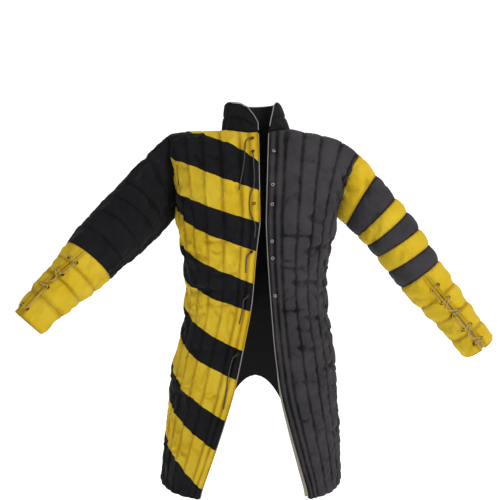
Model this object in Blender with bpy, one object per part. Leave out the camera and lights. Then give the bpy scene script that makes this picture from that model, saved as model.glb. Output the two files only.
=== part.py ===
"""Gambeson: a quilted, front-opening arming coat, hollow, in the pose in which it is worn.

Metres, +Z up. The front faces -Y and the wearer's left arm is at +X. The origin is the middle of
the neck opening's base, where the coat hangs on the wearer's shoulders.
"""
import math

import bmesh
import bpy
from mathutils import Matrix, Vector

# Driving dimensions
WALL = 0.0085             # padded cloth from its face to its inside, at a quilting line
BULGE = 0.0035            # how far a channel's middle stands proud of its quilting lines
SEAM = 0.0003             # space between two pieces at a seam
FADE = 0.03               # cloth over which the padding thins out towards a sewn-on piece
HEM_Z = -0.875            # bottom of the skirt
CHEST_Z = -0.225          # underarm level, where the upper body starts to close to the shoulders
HEM_TO_CHEST = CHEST_Z - HEM_Z
DOME = 0.14               # cloth length for each radian of the closing upper body
DOME_HALF = 0.25          # the ellipsoid that gives the upper wall its direction
DOME_DEPTH = 0.14
DOME_HEIGHT = 0.20
DOME_START = 0.5
SQUARENESS = 2.6          # power of the superellipse that a level section follows
DEPTH_POWER = 0.6         # how late the upper body draws in from front to back
WIDTH_POWER = 0.55        # how early it widens to the shoulders
NECK_HALF = 0.085         # half width of the neck opening
NECK_DEPTH = 0.088        # neck opening's middle to its front edge, and to its back edge
TIP_FRONT = 0.718         # share of a front's width at which the armhole starts
TIP_BACK = 0.28           # the same on a back half, counted from its side seam
UNDERARM = 0.09           # radians of closing at the bottom of the armhole
ARMHOLE_POWER = 1.3
ROWS = 13                 # cells from hem to top in a plain panel
ROW_CROWDING = 1.4        # how much closer the rows lie towards the top, where the cloth curves
VENT_TOP = -0.66          # top of the back vent
VENT_HALF = 0.125         # half the width of the vent at the hem
VENT_POWER = 0.5
SIDE_SWING = math.radians(6)   # how far the side seam swings back from the waist to the hem
WAIST_Z = -0.40
TRIM = SEAM / 2 / 0.25     # half a seam's space, as a share of a panel's width

RIGHT = -1                # the wearer's right, at -X
LEFT = 1                  # the wearer's left, at +X

# Level sections of the body, outer surface: half widths to each side, depth to front and back
LEVELS = (
    # z, right, left, front, back
    (-0.875, 0.2415, 0.214, 0.185, 0.190),
    (-0.738, 0.225, 0.208, 0.172, 0.178),
    (-0.627, 0.213, 0.199, 0.160, 0.163),
    (-0.534, 0.197, 0.193, 0.146, 0.142),
    (-0.471, 0.179, 0.180, 0.134, 0.118),
    (-0.399, 0.176, 0.174, 0.130, 0.108),
    (-0.302, 0.183, 0.181, 0.140, 0.118),
    (-0.225, 0.195, 0.2005, 0.147, 0.130),
)
# Where the two open front edges lie, X at each height
FRONT_EDGES = (
    # z, right front, left front
    (-0.875, -0.138, 0.128),
    (-0.739, -0.090, 0.089),
    (-0.627, -0.055, 0.059),
    (-0.530, -0.034, 0.046),
    (-0.420, -0.012, 0.037),
    (-0.300, -0.003, 0.028),
    (-0.230, 0.006, 0.025),
    (-0.180, 0.011, 0.022),
)
# Distance from the middle at the chest, and where the same channel crosses the shoulder ridge
SHOULDER_SPREAD = {
    RIGHT: ((-0.03, -0.03), (0.057, 0.073), (0.098, 0.115), (0.134, 0.155), (0.178, 0.2215)),
    LEFT: ((-0.03, -0.03), (0.057, 0.072), (0.098, 0.121), (0.134, 0.166), (0.185, 0.262)),
}
# Height of the shoulder ridge at each distance from the middle
SHOULDER_HEIGHT = {
    RIGHT: ((0.0, 0.015), (0.085, 0.0), (0.176, -0.002), (0.2215, -0.009)),
    LEFT: ((0.0, 0.015), (0.098, 0.0), (0.174, -0.014), (0.217, -0.029), (0.262, -0.061)),
}
# Quilting lines across a front and a back half, as shares of the width, and cells per channel
FRONT_LINES = (0.0, 0.058, 0.125, 0.267, 0.42, 0.57, 0.72, 0.86, 1.0)
FRONT_CELLS = (2, 2, 3, 3, 3, 3, 4, 4)
BACK_LINES = (0.0, 0.14, 0.28, 0.42, 0.57, 0.715, 0.86, 1.0)
BACK_CELLS = (4, 4, 3, 3, 3, 3, 3)

# Seams between the right front's bands: cloth height above the hem at the edge and at the side
BAND_SEAMS = (
    # at the front edge, at the side seam
    (0.740, 0.966),
    (0.696, 0.780),
    (0.652, 0.710),
    (0.586, 0.6806),
    (0.509, 0.606),
    (0.442, 0.522),
    (0.350, 0.450),
    (0.283, 0.379),
    (0.188, 0.302),
    (0.118, 0.2305),
    (0.025, 0.145),
)

# Sleeves, from the armhole to the wrist: middle of each ring, radius, and ring along the sleeve
RIGHT_SLEEVE = (
    # share of the length, x, y, z, radius
    (0.28, -0.296, -0.030, -0.199, 0.079),
    (0.48, -0.342, -0.070, -0.252, 0.0755),
    (0.60, -0.376, -0.090, -0.283, 0.070),
    (0.70, -0.401, -0.105, -0.3155, 0.066),
    (0.79, -0.426, -0.125, -0.344, 0.059),
    (0.86, -0.455, -0.140, -0.372, 0.052),
    (0.93, -0.484, -0.165, -0.406, 0.046),
    (1.00, -0.530, -0.190, -0.457, 0.037),
)
LEFT_SLEEVE = (
    # share of the length, x, y, z, radius
    (0.25, 0.314, -0.002, -0.223, 0.064),
    (0.37, 0.348, -0.004, -0.2615, 0.062),
    (0.48, 0.376, -0.008, -0.303, 0.060),
    (0.62, 0.4125, -0.014, -0.356, 0.056),
    (0.81, 0.4865, -0.026, -0.445, 0.046),
    (1.00, 0.564, -0.040, -0.544, 0.039),
)
RIGHT_CUFF_SHARE = 0.70
LEFT_CUFF_SHARE = 0.62
UPPER_CHANNELS = 6        # ring channels of an upper sleeve
CHANNEL_CELLS = 3
CUFF_CHANNELS = 3
SLEEVE_WALL = 0.006
SLEEVE_BULGE = 0.003

# Cuffs: the slit's turn runs from the top of the arm to the front, at the cuff's top and end
CUFFS = (
    {"name": "right", "rows": RIGHT_SLEEVE, "start": RIGHT_CUFF_SHARE, "length": 0.52,
     "slit_top": math.radians(77), "slit_end": math.radians(48),
     "pairs": 4, "first_pair": 0.775, "pair_step": 0.065},
    {"name": "left", "rows": LEFT_SLEEVE, "start": LEFT_CUFF_SHARE, "length": 0.50,
     "slit_top": math.radians(90), "slit_end": math.radians(86),
     "pairs": 5, "first_pair": 0.69, "pair_step": 0.066},
)
CUFF_SIDES = 16
SLIT_TOP_GAP = 0.001
SLIT_END_GAP = 0.009
LACE_HALF = 0.011         # from the slit's middle to an eyelet, round the forearm
LACE_RADIUS = 0.0013
LACE_LIFT = 0.0034        # room under a cord that lies on the cloth
LACE_ARCH = 0.0020        # how far a rung rises over the slit

# Facings: thin cotton strips behind the slits and the front edges
FACING_HALF = 0.016
CHORD_ROOM = 0.0013       # a faceted forearm's flats come this much nearer its middle
FACING_WALL = 0.0014
BAND_ROOM = 0.0016        # the pieced bands' inside comes this much nearer the wearer
FACING_CELLS = 4
FACING_SHARE = 0.12       # width of a front facing, as a share of the front
FACING_ROLL = 0.024       # how far the left one rolls out past the edge at the hem
ROLLED_HEIGHT = 0.32

# Collar: upper edge height by its distance round the neck from the front edge
COLLAR_HEIGHTS = {
    RIGHT: ((0.0, 0.016), (0.012, 0.034), (0.030, 0.053), (0.050, 0.062), (0.090, 0.068),
            (0.150, 0.070)),
    LEFT: ((0.0, 0.058), (0.020, 0.064), (0.090, 0.068), (0.150, 0.070)),
}
COLLAR_CELLS = 4
COLLAR_WALL = 0.006
COLLAR_BULGE = 0.002
COLLAR_MIDDLE_X = -0.005
COLLAR_RIGHT_NARROWING = 0.90
COLLAR_DEPTH_SHARE = 0.86
COLLAR_LEFT_EDGE = 0.026
COLLAR_LEFT_EDGE_TOP = 0.044
COLLAR_LEFT_SIDE_TOP = 0.060

# Trims and fastenings
FRONT_WIDTH = 0.25        # cloth from a front edge to its side seam
PIPING_RADIUS = 0.0015
COLLAR_PIPING_SPACE = 0.0011
EYELET_RADIUS = 0.0042
EYELET_HOLE = 0.0020
EYELET_RISE = 0.0010
EYELET_SIDES = 10
EYELET_FROM_EDGE = 0.009
EYELET_FEET = ((-0.004, 0.0), (-0.002, 0.0), (0.002, 0.0), (0.004, 0.0), (0.0, -0.004), (0.0, 0.004))
RIGHT_EYELETS = (-0.026, -0.058, -0.178, -0.290, -0.395, -0.533)
LEFT_EYELETS = (-0.058, -0.135, -0.180, -0.265, -0.305, -0.395)
TIE_RADIUS = 0.0014
# Ties on the right front: distance from the edge, level, and room under the cord
TIES = (
    ((0.0090, -0.0275, 0.0042), (0.0190, -0.0320, 0.0042), (0.0220, -0.0510, 0.0034),
     (0.0250, -0.0840, 0.0020), (0.0310, -0.1220, 0.0018), (0.0360, -0.1480, 0.0012)),
    ((0.0090, -0.0600, 0.0030), (0.0085, -0.0780, 0.0026), (0.0080, -0.1330, 0.0016),
     (0.0160, -0.1600, 0.0012), (0.0170, -0.1960, 0.0012), (0.0070, -0.2280, 0.0014),
     (0.0060, -0.2560, 0.0012)),
    ((0.0090, -0.2920, 0.0030), (0.0170, -0.3010, 0.0030), (0.0170, -0.3400, 0.0012)),
    ((0.0090, -0.3970, 0.0030), (0.0170, -0.4060, 0.0030), (0.0170, -0.4300, 0.0012),
     (0.0190, -0.4620, 0.0010)),
    ((0.0090, -0.5350, 0.0030), (0.0170, -0.5440, 0.0030), (0.0180, -0.5850, 0.0012),
     (0.0150, -0.6200, 0.0012), (0.0110, -0.6600, 0.0012)),
)


def clear_scene():
    for item in list(bpy.data.objects):
        bpy.data.objects.remove(item, do_unlink=True)


def lookup(rows, key, column):
    """Reads a column of a table between its rows; the first column is the key, in order."""
    rows = sorted(rows)
    if key <= rows[0][0]:
        return rows[0][column]
    for low, high in zip(rows, rows[1:]):
        if key <= high[0]:
            share = (key - low[0]) / (high[0] - low[0])
            return low[column] + (high[column] - low[column]) * share
    return rows[-1][column]


def smooth_lookup(rows, key, column):
    """The same, rounded off at the rows by averaging nearby readings."""
    reach = 0.03
    total = 0.0
    for step in (-1.0, -0.5, 0.0, 0.5, 1.0):
        total += lookup(rows, key + step * reach, column)
    return total / 5


def srgb(code):
    """A colour written as six hex digits, as linear values."""
    values = []
    for place in (0, 2, 4):
        part = int(code[place:place + 2], 16) / 255
        values.append(part / 12.92 if part <= 0.04045 else ((part + 0.055) / 1.055) ** 2.4)
    return (*values, 1.0)


def material(name, code, roughness, metallic=0.0):
    made = bpy.data.materials.new(name)
    made.use_nodes = True
    shader = made.node_tree.nodes["Principled BSDF"]
    shader.inputs["Base Color"].default_value = srgb(code)
    shader.inputs["Roughness"].default_value = roughness
    shader.inputs["Metallic"].default_value = metallic
    return made


def add_object(name, bm, finish):
    """Turns a bmesh into a named object with its material, shaded smooth between sharp edges."""
    mesh = bpy.data.meshes.new(name)
    bmesh.ops.recalc_face_normals(bm, faces=bm.faces)
    if bm.calc_volume(signed=True) < 0:
        bmesh.ops.reverse_faces(bm, faces=bm.faces)
    bm.to_mesh(mesh)
    bm.free()
    mesh.shade_smooth()
    mesh.set_sharp_from_angle(angle=math.radians(50))
    mesh.materials.append(finish)
    made = bpy.data.objects.new(name, mesh)
    bpy.context.collection.objects.link(made)
    return made


# Body: one function gives any point of a front or a back half

def level_point(side, angle, z):
    """A point of the level section at z; the angle is 0 at the front middle and pi at the back."""
    half = smooth_lookup(LEVELS, z, 1 if side == RIGHT else 2)
    across = math.sin(angle)
    to_front = math.cos(angle) > 0
    depth = smooth_lookup(LEVELS, z, 3 if to_front else 4)
    reach = max(0.0, 1 - abs(across) ** SQUARENESS) ** (1 / SQUARENESS)
    return half * across, (-depth if to_front else depth) * reach


def level_angle(side, panel, share, z):
    half = smooth_lookup(LEVELS, z, 1 if side == RIGHT else 2)
    drop = max(0.0, (WAIST_Z - z) / (WAIST_Z - HEM_Z))
    side_angle = math.pi / 2 + SIDE_SWING * drop
    if panel == "front":
        edge = side * smooth_lookup(FRONT_EDGES, z, 1 if side == RIGHT else 2)
        start = math.asin(edge / half)
        return start + (side_angle - start) * share
    open_share = max(0.0, (VENT_TOP - z) / (VENT_TOP - HEM_Z))
    gap = SEAM / 2 + VENT_HALF * open_share ** VENT_POWER
    shut = math.asin(SEAM / 2 / half)
    # The spreading vent pushes the cloth aside, at its top mostly the cloth next to it
    pushed = (math.asin(gap / half) - shut) * share ** (1 + (1 - open_share) ** 3)
    return side_angle + (math.pi - shut - side_angle) * share - pushed


def shoulder_x(side, panel, x):
    """Where the channel at x of the chest crosses the shoulder ridge; the back halves meet."""
    rows = SHOULDER_SPREAD[side]
    if panel == "back":
        rows = ((0.0, 0.0), *rows[1:])
    return lookup(rows, x, 1)


def body_point(side, panel, share, height):
    """A point of the outer cloth by its share of the width and its cloth height above the hem."""
    sense = -1 if panel == "front" else 1
    if height <= HEM_TO_CHEST:
        z = HEM_Z + height
        x, y = level_point(side, level_angle(side, panel, share, z), z)
        return Vector((side * x, y + sense * SEAM / 2, z))
    turn = min((height - HEM_TO_CHEST) / DOME, math.pi / 2)
    x, y = level_point(side, level_angle(side, panel, share, CHEST_Z), CHEST_Z)
    top_x = shoulder_x(side, panel, x)
    top_z = lookup(SHOULDER_HEIGHT[side], max(top_x, 0.0), 1)
    draw_in = math.cos(turn) ** DEPTH_POWER if turn < math.pi / 2 - 1e-9 else 0.0
    widen = (1 - math.cos(turn)) ** WIDTH_POWER
    z = CHEST_Z + (top_z - CHEST_Z) * math.sin(turn)
    return Vector((side * (x + (top_x - x) * widen), y * draw_in + sense * SEAM / 2, z))


def column_height(side, panel, share):
    """Cloth height of a column: it ends at the neckline, the shoulder seam or the armhole."""
    x, y = level_point(side, level_angle(side, panel, share, CHEST_Z), CHEST_Z)
    top_x = shoulder_x(side, panel, x)
    into_armhole = share - TIP_FRONT if panel == "front" else TIP_BACK - share
    span = 1 - TIP_FRONT if panel == "front" else TIP_BACK
    if abs(top_x) < NECK_HALF:
        wanted = NECK_DEPTH * math.sqrt(1 - (top_x / NECK_HALF) ** 2)
        turn = math.acos(min(1.0, wanted / abs(y)) ** (1 / DEPTH_POWER))
    elif into_armhole <= 0:
        turn = math.pi / 2
    else:
        left = 1 - into_armhole / span
        turn = UNDERARM + (math.pi / 2 - UNDERARM) * max(0.0, left) ** ARMHOLE_POWER
    return HEM_TO_CHEST + DOME * turn


def body_normal(side, panel, share, height):
    step = 0.006
    top = column_height(side, panel, min(max(share, 0.0), 1.0))
    lowest = -0.2 if panel == "front" else 0.0
    low_share, high_share = max(share - step, lowest), min(share + step, 1.0)
    low, high = max(height - step, 0.0), min(height + step, top)
    across = (body_point(side, panel, high_share, height)
              - body_point(side, panel, low_share, height))
    up = body_point(side, panel, share, high) - body_point(side, panel, share, low)
    normal = across.cross(up).normalized()
    at = body_point(side, panel, share, height)
    if normal.dot(Vector((at.x, at.y, 0.02))) < 0:
        normal = -normal
    # The upper body's wall stands as on an ellipsoid, so that it turns evenly round the armhole
    turn = (height - HEM_TO_CHEST) / DOME
    if turn > 0:
        dome = Vector((at.x / DOME_HALF ** 2, at.y / DOME_DEPTH ** 2,
                       (at.z - CHEST_Z) / DOME_HEIGHT ** 2)).normalized()
        normal = normal.lerp(dome, min(1.0, turn / DOME_START)).normalized()
    # Walls that meet at a seam both stand square to it, so that neither reaches over it
    on_side = share > 1 - 2 * TRIM if panel == "front" else share < 2 * TRIM
    on_shoulder = height > HEM_TO_CHEST + DOME * math.pi / 2 - 1e-5
    if on_side or on_shoulder:
        normal.y = 0.0
    if panel == "back" and share > 1 - 1e-6:
        normal.x = 0.0
    return normal.normalized()


def channel_rise(lines, share):
    """How far the padding lifts the cloth there: none on a quilting line, BULGE in the middle."""
    for low, high in zip(lines, lines[1:]):
        if share <= high:
            place = 2 * (share - low) / (high - low) - 1
            return 1 - abs(place) ** 3
    return 0.0


def columns(lines, cells):
    shares = []
    for low, high, count in zip(lines, lines[1:], cells):
        shares += [low + (high - low) * step / count for step in range(count)]
    return shares + [1.0]


def panel_columns(side, panel):
    """The shares of a panel's columns, one of them moved to end where the neckline does."""
    lines, cells = (FRONT_LINES, FRONT_CELLS) if panel == "front" else (BACK_LINES, BACK_CELLS)
    shares = columns(lines, cells)

    def ridge_x(share):
        x = level_point(side, level_angle(side, panel, share, CHEST_Z), CHEST_Z)[0]
        return shoulder_x(side, panel, x)
    inside, outside = (0.0, 1.0) if panel == "front" else (1.0, 0.0)
    for _ in range(30):
        middle = (inside + outside) / 2
        if ridge_x(middle) < NECK_HALF:
            inside = middle
        else:
            outside = middle
    loose = [place for place, share in enumerate(shares)
             if min(abs(share - line) for line in lines) > 1e-6]
    nearest = min(loose, key=lambda place: abs(shares[place] - outside))
    shares[nearest] = outside
    return [share * (1 - TRIM) if panel == "front" else TRIM + share * (1 - TRIM)
            for share in shares]


def wall_points(side, panel, share, height):
    """The outer and the inner point of the padded wall at one place of the body."""
    lines = FRONT_LINES if panel == "front" else BACK_LINES
    at = body_point(side, panel, share, height)
    normal = body_normal(side, panel, share, height)
    to_edge = (column_height(side, panel, min(max(share, 0.0), 1.0)) - height) / FADE
    rise = BULGE * channel_rise(lines, share) * min(1.0, max(0.0, to_edge))
    return at + normal * rise, at - normal * WALL


def row_share(row):
    """How far up its column a row lies."""
    return 1 - (1 - row / ROWS) ** ROW_CROWDING


def flat_sheet(side, panel):
    """The panel's cells laid flat: x is the share of its width, y its cloth height."""
    shares = panel_columns(side, panel)
    bm = bmesh.new()
    bmesh.ops.create_grid(bm, x_segments=len(shares) - 1, y_segments=ROWS, size=0.5)
    count = len(shares) - 1
    for vert in bm.verts:
        share = shares[round((vert.co.x + 0.5) * count)]
        up = row_share(round((vert.co.y + 0.5) * ROWS))
        vert.co = Vector((share, up * column_height(side, panel, share), 0.0))
    return bm


def keep_between(bm, low_seam, high_seam):
    """Cuts a flat sheet along two seam lines, half a seam's space clear of each."""
    for seam, keep_above in ((low_seam, True), (high_seam, False)):
        if seam is None:
            continue
        along = Vector((1.0, seam[1] - seam[0], 0.0)).normalized()
        up = Vector((-along.y, along.x, 0.0))
        shift = SEAM / 2 if keep_above else -SEAM / 2
        geometry = bm.verts[:] + bm.edges[:] + bm.faces[:]
        bmesh.ops.bisect_plane(
            bm, geom=geometry, dist=1e-5, plane_co=Vector((0.0, seam[0] + shift, 0.0)),
            plane_no=up, clear_inner=keep_above, clear_outer=not keep_above)


def wall_from_flat(bm, place):
    """Gives a flat sheet its place in space and its thickness, as one closed wall."""
    solid = bmesh.new()
    outer, inner = {}, {}
    for vert in bm.verts:
        out_point, in_point = place(vert.co.x, vert.co.y)
        outer[vert] = solid.verts.new(out_point)
        inner[vert] = solid.verts.new(in_point)
    for face in bm.faces:
        solid.faces.new([outer[vert] for vert in face.verts])
        solid.faces.new([inner[vert] for vert in reversed(face.verts)])
    for edge in bm.edges:
        if edge.is_boundary:
            first, second = sorted(edge.verts, key=lambda vert: (vert.co.x, vert.co.y))
            solid.faces.new((outer[first], outer[second], inner[second]))
            solid.faces.new((outer[first], inner[second], inner[first]))
    bm.free()
    return solid


def wall_from_rings(outer_rings, inner_rings, closed):
    """One closed wall through rings of points: a tube, or a strip where it isn't closed."""
    solid = bmesh.new()
    outer = [[solid.verts.new(point) for point in ring] for ring in outer_rings]
    inner = [[solid.verts.new(point) for point in ring] for ring in inner_rings]
    count = len(outer[0])
    cells = count if closed else count - 1
    for low, high in zip(range(len(outer)), range(1, len(outer))):
        for cell in range(cells):
            after = (cell + 1) % count
            solid.faces.new((outer[low][cell], outer[low][after],
                             outer[high][after], outer[high][cell]))
            solid.faces.new((inner[low][after], inner[low][cell],
                             inner[high][cell], inner[high][after]))
        if not closed:
            for end in (0, count - 1):
                solid.faces.new((outer[low][end], outer[high][end],
                                 inner[high][end], inner[low][end]))
    for ring in (0, len(outer) - 1):
        for cell in range(cells):
            after = (cell + 1) % count
            solid.faces.new((outer[ring][cell], outer[ring][after], inner[ring][after]))
            solid.faces.new((outer[ring][cell], inner[ring][after], inner[ring][cell]))
    return solid


def make_body(black, yellow):
    seams = [None, *BAND_SEAMS, None]
    for number, (high_seam, low_seam) in enumerate(zip(seams, seams[1:]), start=1):
        sheet = flat_sheet(RIGHT, "front")
        keep_between(sheet, low_seam, high_seam)
        solid = wall_from_flat(sheet, lambda x, y: wall_points(RIGHT, "front", x, y))
        finish = yellow if number % 2 else black
        add_object(f"right_front_band_{number:02d}", solid, finish)
    for name, side, panel in (("left_front", LEFT, "front"), ("back_right", RIGHT, "back"),
                              ("back_left", LEFT, "back")):
        sheet = flat_sheet(side, panel)
        solid = wall_from_flat(sheet, lambda x, y, s=side, p=panel: wall_points(s, p, x, y))
        add_object(name, solid, black)


# Sleeves: tubes that start on the armhole's own edge

def armhole_loop(side):
    """The armhole's outer and inner edge points: shoulder, front, underarm, back, shoulder."""
    places = [("front", share) for share in panel_columns(side, "front")
              if share >= TIP_FRONT - 0.01]
    back = [("back", share) for share in panel_columns(side, "back")
            if share <= TIP_BACK + 0.01]
    # The front's last column and the back's first lie on the same side seam, as the two tip
    # columns lie on the same shoulder seam, so one of each pair is enough
    places += back[1:-1]
    pairs = [wall_points(side, panel, share, column_height(side, panel, share))
             for panel, share in places]
    return [pair[0] for pair in pairs], [pair[1] for pair in pairs]


def shift_off_edge(outer, inner):
    """Moves an armhole loop a seam's space into the opening, away from the body's edge."""
    count = len(outer)
    middle = sum(outer, Vector()) / count
    moves = []
    for place in range(count):
        along = outer[(place + 1) % count] - outer[place - 1]
        normal = along.cross(outer[place] - inner[place]).normalized()
        moves.append(normal if normal.dot(middle - outer[place]) > 0 else -normal)
    space = SEAM * 3
    return ([point + move * space for point, move in zip(outer, moves)],
            [point + move * space for point, move in zip(inner, moves)])


def sleeve_frame(rows, share):
    """Middle, direction and radius of a sleeve at a share of its length."""
    def middle(at):
        return Vector([smooth_lookup(rows, at, column) for column in (1, 2, 3)])
    ahead = middle(min(share + 0.04, 1.0)) - middle(max(share - 0.04, rows[0][0]))
    return middle(share), ahead.normalized(), smooth_lookup(rows, share, 4)


def round_ring(rows, share, count, wall):
    """A ring square to the sleeve, its points counted from the top to the front."""
    middle, ahead, radius = sleeve_frame(rows, share)
    front = Vector((0.0, -1.0, 0.0))
    front = (front - ahead * front.dot(ahead)).normalized()
    top = front.cross(ahead).normalized()
    if top.z < 0:
        top = -top
    outer, inner = [], []
    for place in range(count):
        turn = 2 * math.pi * place / count
        way = top * math.cos(turn) + front * math.sin(turn)
        outer.append(middle + way * radius)
        inner.append(middle + way * (radius - wall))
    return outer, inner


def ring_normals(rings, level):
    """Which way a ring's cloth faces, from the rings on both sides of it."""
    count = len(rings[level])
    middle = sum(rings[level], Vector()) / count
    before, after = rings[max(level - 1, 0)], rings[min(level + 1, len(rings) - 1)]
    normals = []
    for place in range(count):
        around = rings[level][(place + 1) % count] - rings[level][place - 1]
        normal = around.cross(after[place] - before[place]).normalized()
        away = rings[level][place] - middle
        normals.append(normal if normal.dot(away) > 0 else -normal)
    return normals


def sleeve_rings(side, rows, start, end, channels):
    """Rings of a stretch of sleeve, with its padding raised between the ring quilting lines."""
    edge_outer, edge_inner = shift_off_edge(*armhole_loop(side))
    count = len(edge_outer)
    cells = channels * CHANNEL_CELLS
    round_from = rows[0][0]
    bases, inner_rings = [], []
    for step in range(cells + 1):
        share = start + (end - start) * step / cells
        outer, inner = round_ring(rows, max(share, round_from), count, SLEEVE_WALL)
        if share < round_from:
            along = share / round_from
            lead = along * along * (3 - 2 * along) * 0.35 + along * 0.65
            outer = [a.lerp(b, lead) for a, b in zip(edge_outer, outer)]
        bases.append(outer)
        inner_rings.append(inner)
    outer_rings = []
    for step, base in enumerate(bases):
        normals = ring_normals(bases, step)
        place = 2 * (step % CHANNEL_CELLS) / CHANNEL_CELLS - 1
        rise = SLEEVE_BULGE * (1 - abs(place) ** 3)
        outer_rings.append([point + way * rise for point, way in zip(base, normals)])
        if start + (end - start) * step / cells < round_from:
            inner_rings[step] = [point - way * SLEEVE_WALL for point, way in zip(base, normals)]
    inner_rings[0] = edge_inner
    return outer_rings, inner_rings


def split_stretch(rings, number, cells):
    """One stretch of a row of rings, its first ring moved a seam's space off the stretch before."""
    outer, inner = rings
    first = number * cells
    parts = []
    for kind in (outer, inner):
        stretch = [list(ring) for ring in kind[first:first + cells + 1]]
        if number:
            stretch[0] = [point + (after - point).normalized() * SEAM * 1.3
                          for point, after in zip(stretch[0], stretch[1])]
        parts.append(stretch)
    return parts


def make_upper_sleeves(black, yellow):
    outer, inner = sleeve_rings(RIGHT, RIGHT_SLEEVE, 0.0, RIGHT_CUFF_SHARE, UPPER_CHANNELS)
    add_object("right_sleeve_upper", wall_from_rings(outer, inner, True), black)
    rings = sleeve_rings(LEFT, LEFT_SLEEVE, 0.0, LEFT_CUFF_SHARE, UPPER_CHANNELS)
    for number in range(UPPER_CHANNELS):
        outer, inner = split_stretch(rings, number, CHANNEL_CELLS)
        finish = black if number % 2 else yellow
        add_object(f"left_sleeve_band_{number + 1}", wall_from_rings(outer, inner, True), finish)


# Cuffs: forearm tubes open along a slit, with a facing strip behind it

def slit_angle(cuff, share):
    along = (share - cuff["start"]) / (1 - cuff["start"])
    return cuff["slit_top"] + (cuff["slit_end"] - cuff["slit_top"]) * along


def cuff_point(cuff, share, turn, off):
    """A point of the forearm: turn runs from the top to the front, off is the distance outwards."""
    middle, ahead, radius = sleeve_frame(cuff["rows"], share)
    front = Vector((0.0, -1.0, 0.0))
    front = (front - ahead * front.dot(ahead)).normalized()
    top = front.cross(ahead).normalized()
    if top.z < 0:
        top = -top
    way = top * math.cos(turn) + front * math.sin(turn)
    return middle + way * (radius + off)


def make_cuff(cuff, yellow, cream):
    start = cuff["start"] + SEAM / cuff["length"]
    cells = CUFF_CHANNELS * CHANNEL_CELLS
    outer_rings, inner_rings = [], []
    for step in range(cells + 1):
        along = step / cells
        share = start + (1 - start) * along
        radius = sleeve_frame(cuff["rows"], share)[2]
        half_gap = (SLIT_TOP_GAP + (SLIT_END_GAP - SLIT_TOP_GAP) * along) / 2 / radius
        place = 2 * (step % CHANNEL_CELLS) / CHANNEL_CELLS - 1
        rise = SLEEVE_BULGE * (1 - abs(place) ** 3)
        middle_turn = slit_angle(cuff, share)
        turns = [middle_turn + half_gap + (2 * math.pi - 2 * half_gap) * column / CUFF_SIDES
                 for column in range(CUFF_SIDES + 1)]
        outer_rings.append([cuff_point(cuff, share, turn, rise) for turn in turns])
        inner_rings.append([cuff_point(cuff, share, turn, -SLEEVE_WALL) for turn in turns])
    solid = wall_from_rings(outer_rings, inner_rings, False)
    add_object(f"{cuff['name']}_cuff", solid, yellow)
    outer_rings, inner_rings = [], []
    for step in range(cells + 1):
        share = start + (1 - start) * min(max(step / cells, 0.01), 0.985)
        radius = sleeve_frame(cuff["rows"], share)[2]
        half = FACING_HALF / radius
        turns = [slit_angle(cuff, share) - half + half * 2 * column / FACING_CELLS
                 for column in range(FACING_CELLS + 1)]
        under = -SLEEVE_WALL - SEAM - CHORD_ROOM
        outer_rings.append([cuff_point(cuff, share, turn, under) for turn in turns])
        inner_rings.append([cuff_point(cuff, share, turn, under - FACING_WALL) for turn in turns])
    solid = wall_from_rings(outer_rings, inner_rings, False)
    add_object(f"{cuff['name']}_cuff_facing", solid, cream)


# Collar: a standing wall on the neckline

def neck_edge(side):
    """The neckline's edge points of one side, from the front edge to the middle of the back."""
    pairs = []
    for panel, reach in (("front", NECK_HALF + 0.001), ("back", NECK_HALF - 0.001)):
        for share in panel_columns(side, panel):
            height = column_height(side, panel, share)
            if abs(body_point(side, panel, share, height).x) < reach:
                pairs.append(wall_points(side, panel, share, height))
    return pairs


def collar_top(side, base, along):
    """Where the collar's upper edge lies over a point of the neckline."""
    if side == RIGHT:
        x = base.x * COLLAR_RIGHT_NARROWING
    elif base.y < 0:
        lean = (base.x - COLLAR_LEFT_EDGE) / (NECK_HALF - COLLAR_LEFT_EDGE)
        x = COLLAR_LEFT_EDGE_TOP + (COLLAR_LEFT_SIDE_TOP - COLLAR_LEFT_EDGE_TOP) * lean
    else:
        x = base.x * COLLAR_LEFT_SIDE_TOP / NECK_HALF
    return Vector((x, base.y * COLLAR_DEPTH_SHARE, lookup(COLLAR_HEIGHTS[side], along, 1)))


def collar_walls():
    """Rings of the collar from the neckline up, from the right front edge to the left one."""
    outer, inner, tops = [], [], []
    right, left = neck_edge(RIGHT), neck_edge(LEFT)
    for side, pairs in ((RIGHT, right), (LEFT, left)):
        along = 0.0
        side_outer, side_inner, side_tops = [], [], []
        for place, (out_point, in_point) in enumerate(pairs):
            if place:
                along += (out_point - pairs[place - 1][0]).length
            side_outer.append(out_point)
            side_inner.append(in_point)
            side_tops.append(collar_top(side, out_point, along))
        if side == LEFT:
            side_outer, side_inner = side_outer[-2::-1], side_inner[-2::-1]
            side_tops = side_tops[-2::-1]
        outer += side_outer
        inner += side_inner
        tops += side_tops
    middle = Vector((0.0, 0.0, 0.03))
    ring_outer, ring_inner = [], []
    count = len(outer)
    for place in range(count):
        after, before = min(place + 1, count - 1), max(place - 1, 0)
        along = outer[after] - outer[before]
        move = along.cross(outer[place] - inner[place]).normalized()
        if move.dot(middle - outer[place]) < 0:
            move = -move
        ring_outer.append(outer[place] + move * SEAM * 3)
        ring_inner.append(inner[place] + move * SEAM * 3)
    outer_rings, inner_rings = [ring_outer], [ring_inner]
    for step in range(1, COLLAR_CELLS + 1):
        up = step / COLLAR_CELLS
        rise = COLLAR_BULGE * (1 - abs(2 * up - 1) ** 3)
        level_outer, level_inner = [], []
        for base, top in zip(ring_outer, tops):
            at = base.lerp(top, up)
            away = Vector((at.x - COLLAR_MIDDLE_X, at.y, 0.0)).normalized()
            level_outer.append(at + away * rise)
            level_inner.append(at - away * COLLAR_WALL)
        outer_rings.append(level_outer)
        inner_rings.append(level_inner)
    return outer_rings, inner_rings


# Edge trims, eyelets and ties

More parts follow.
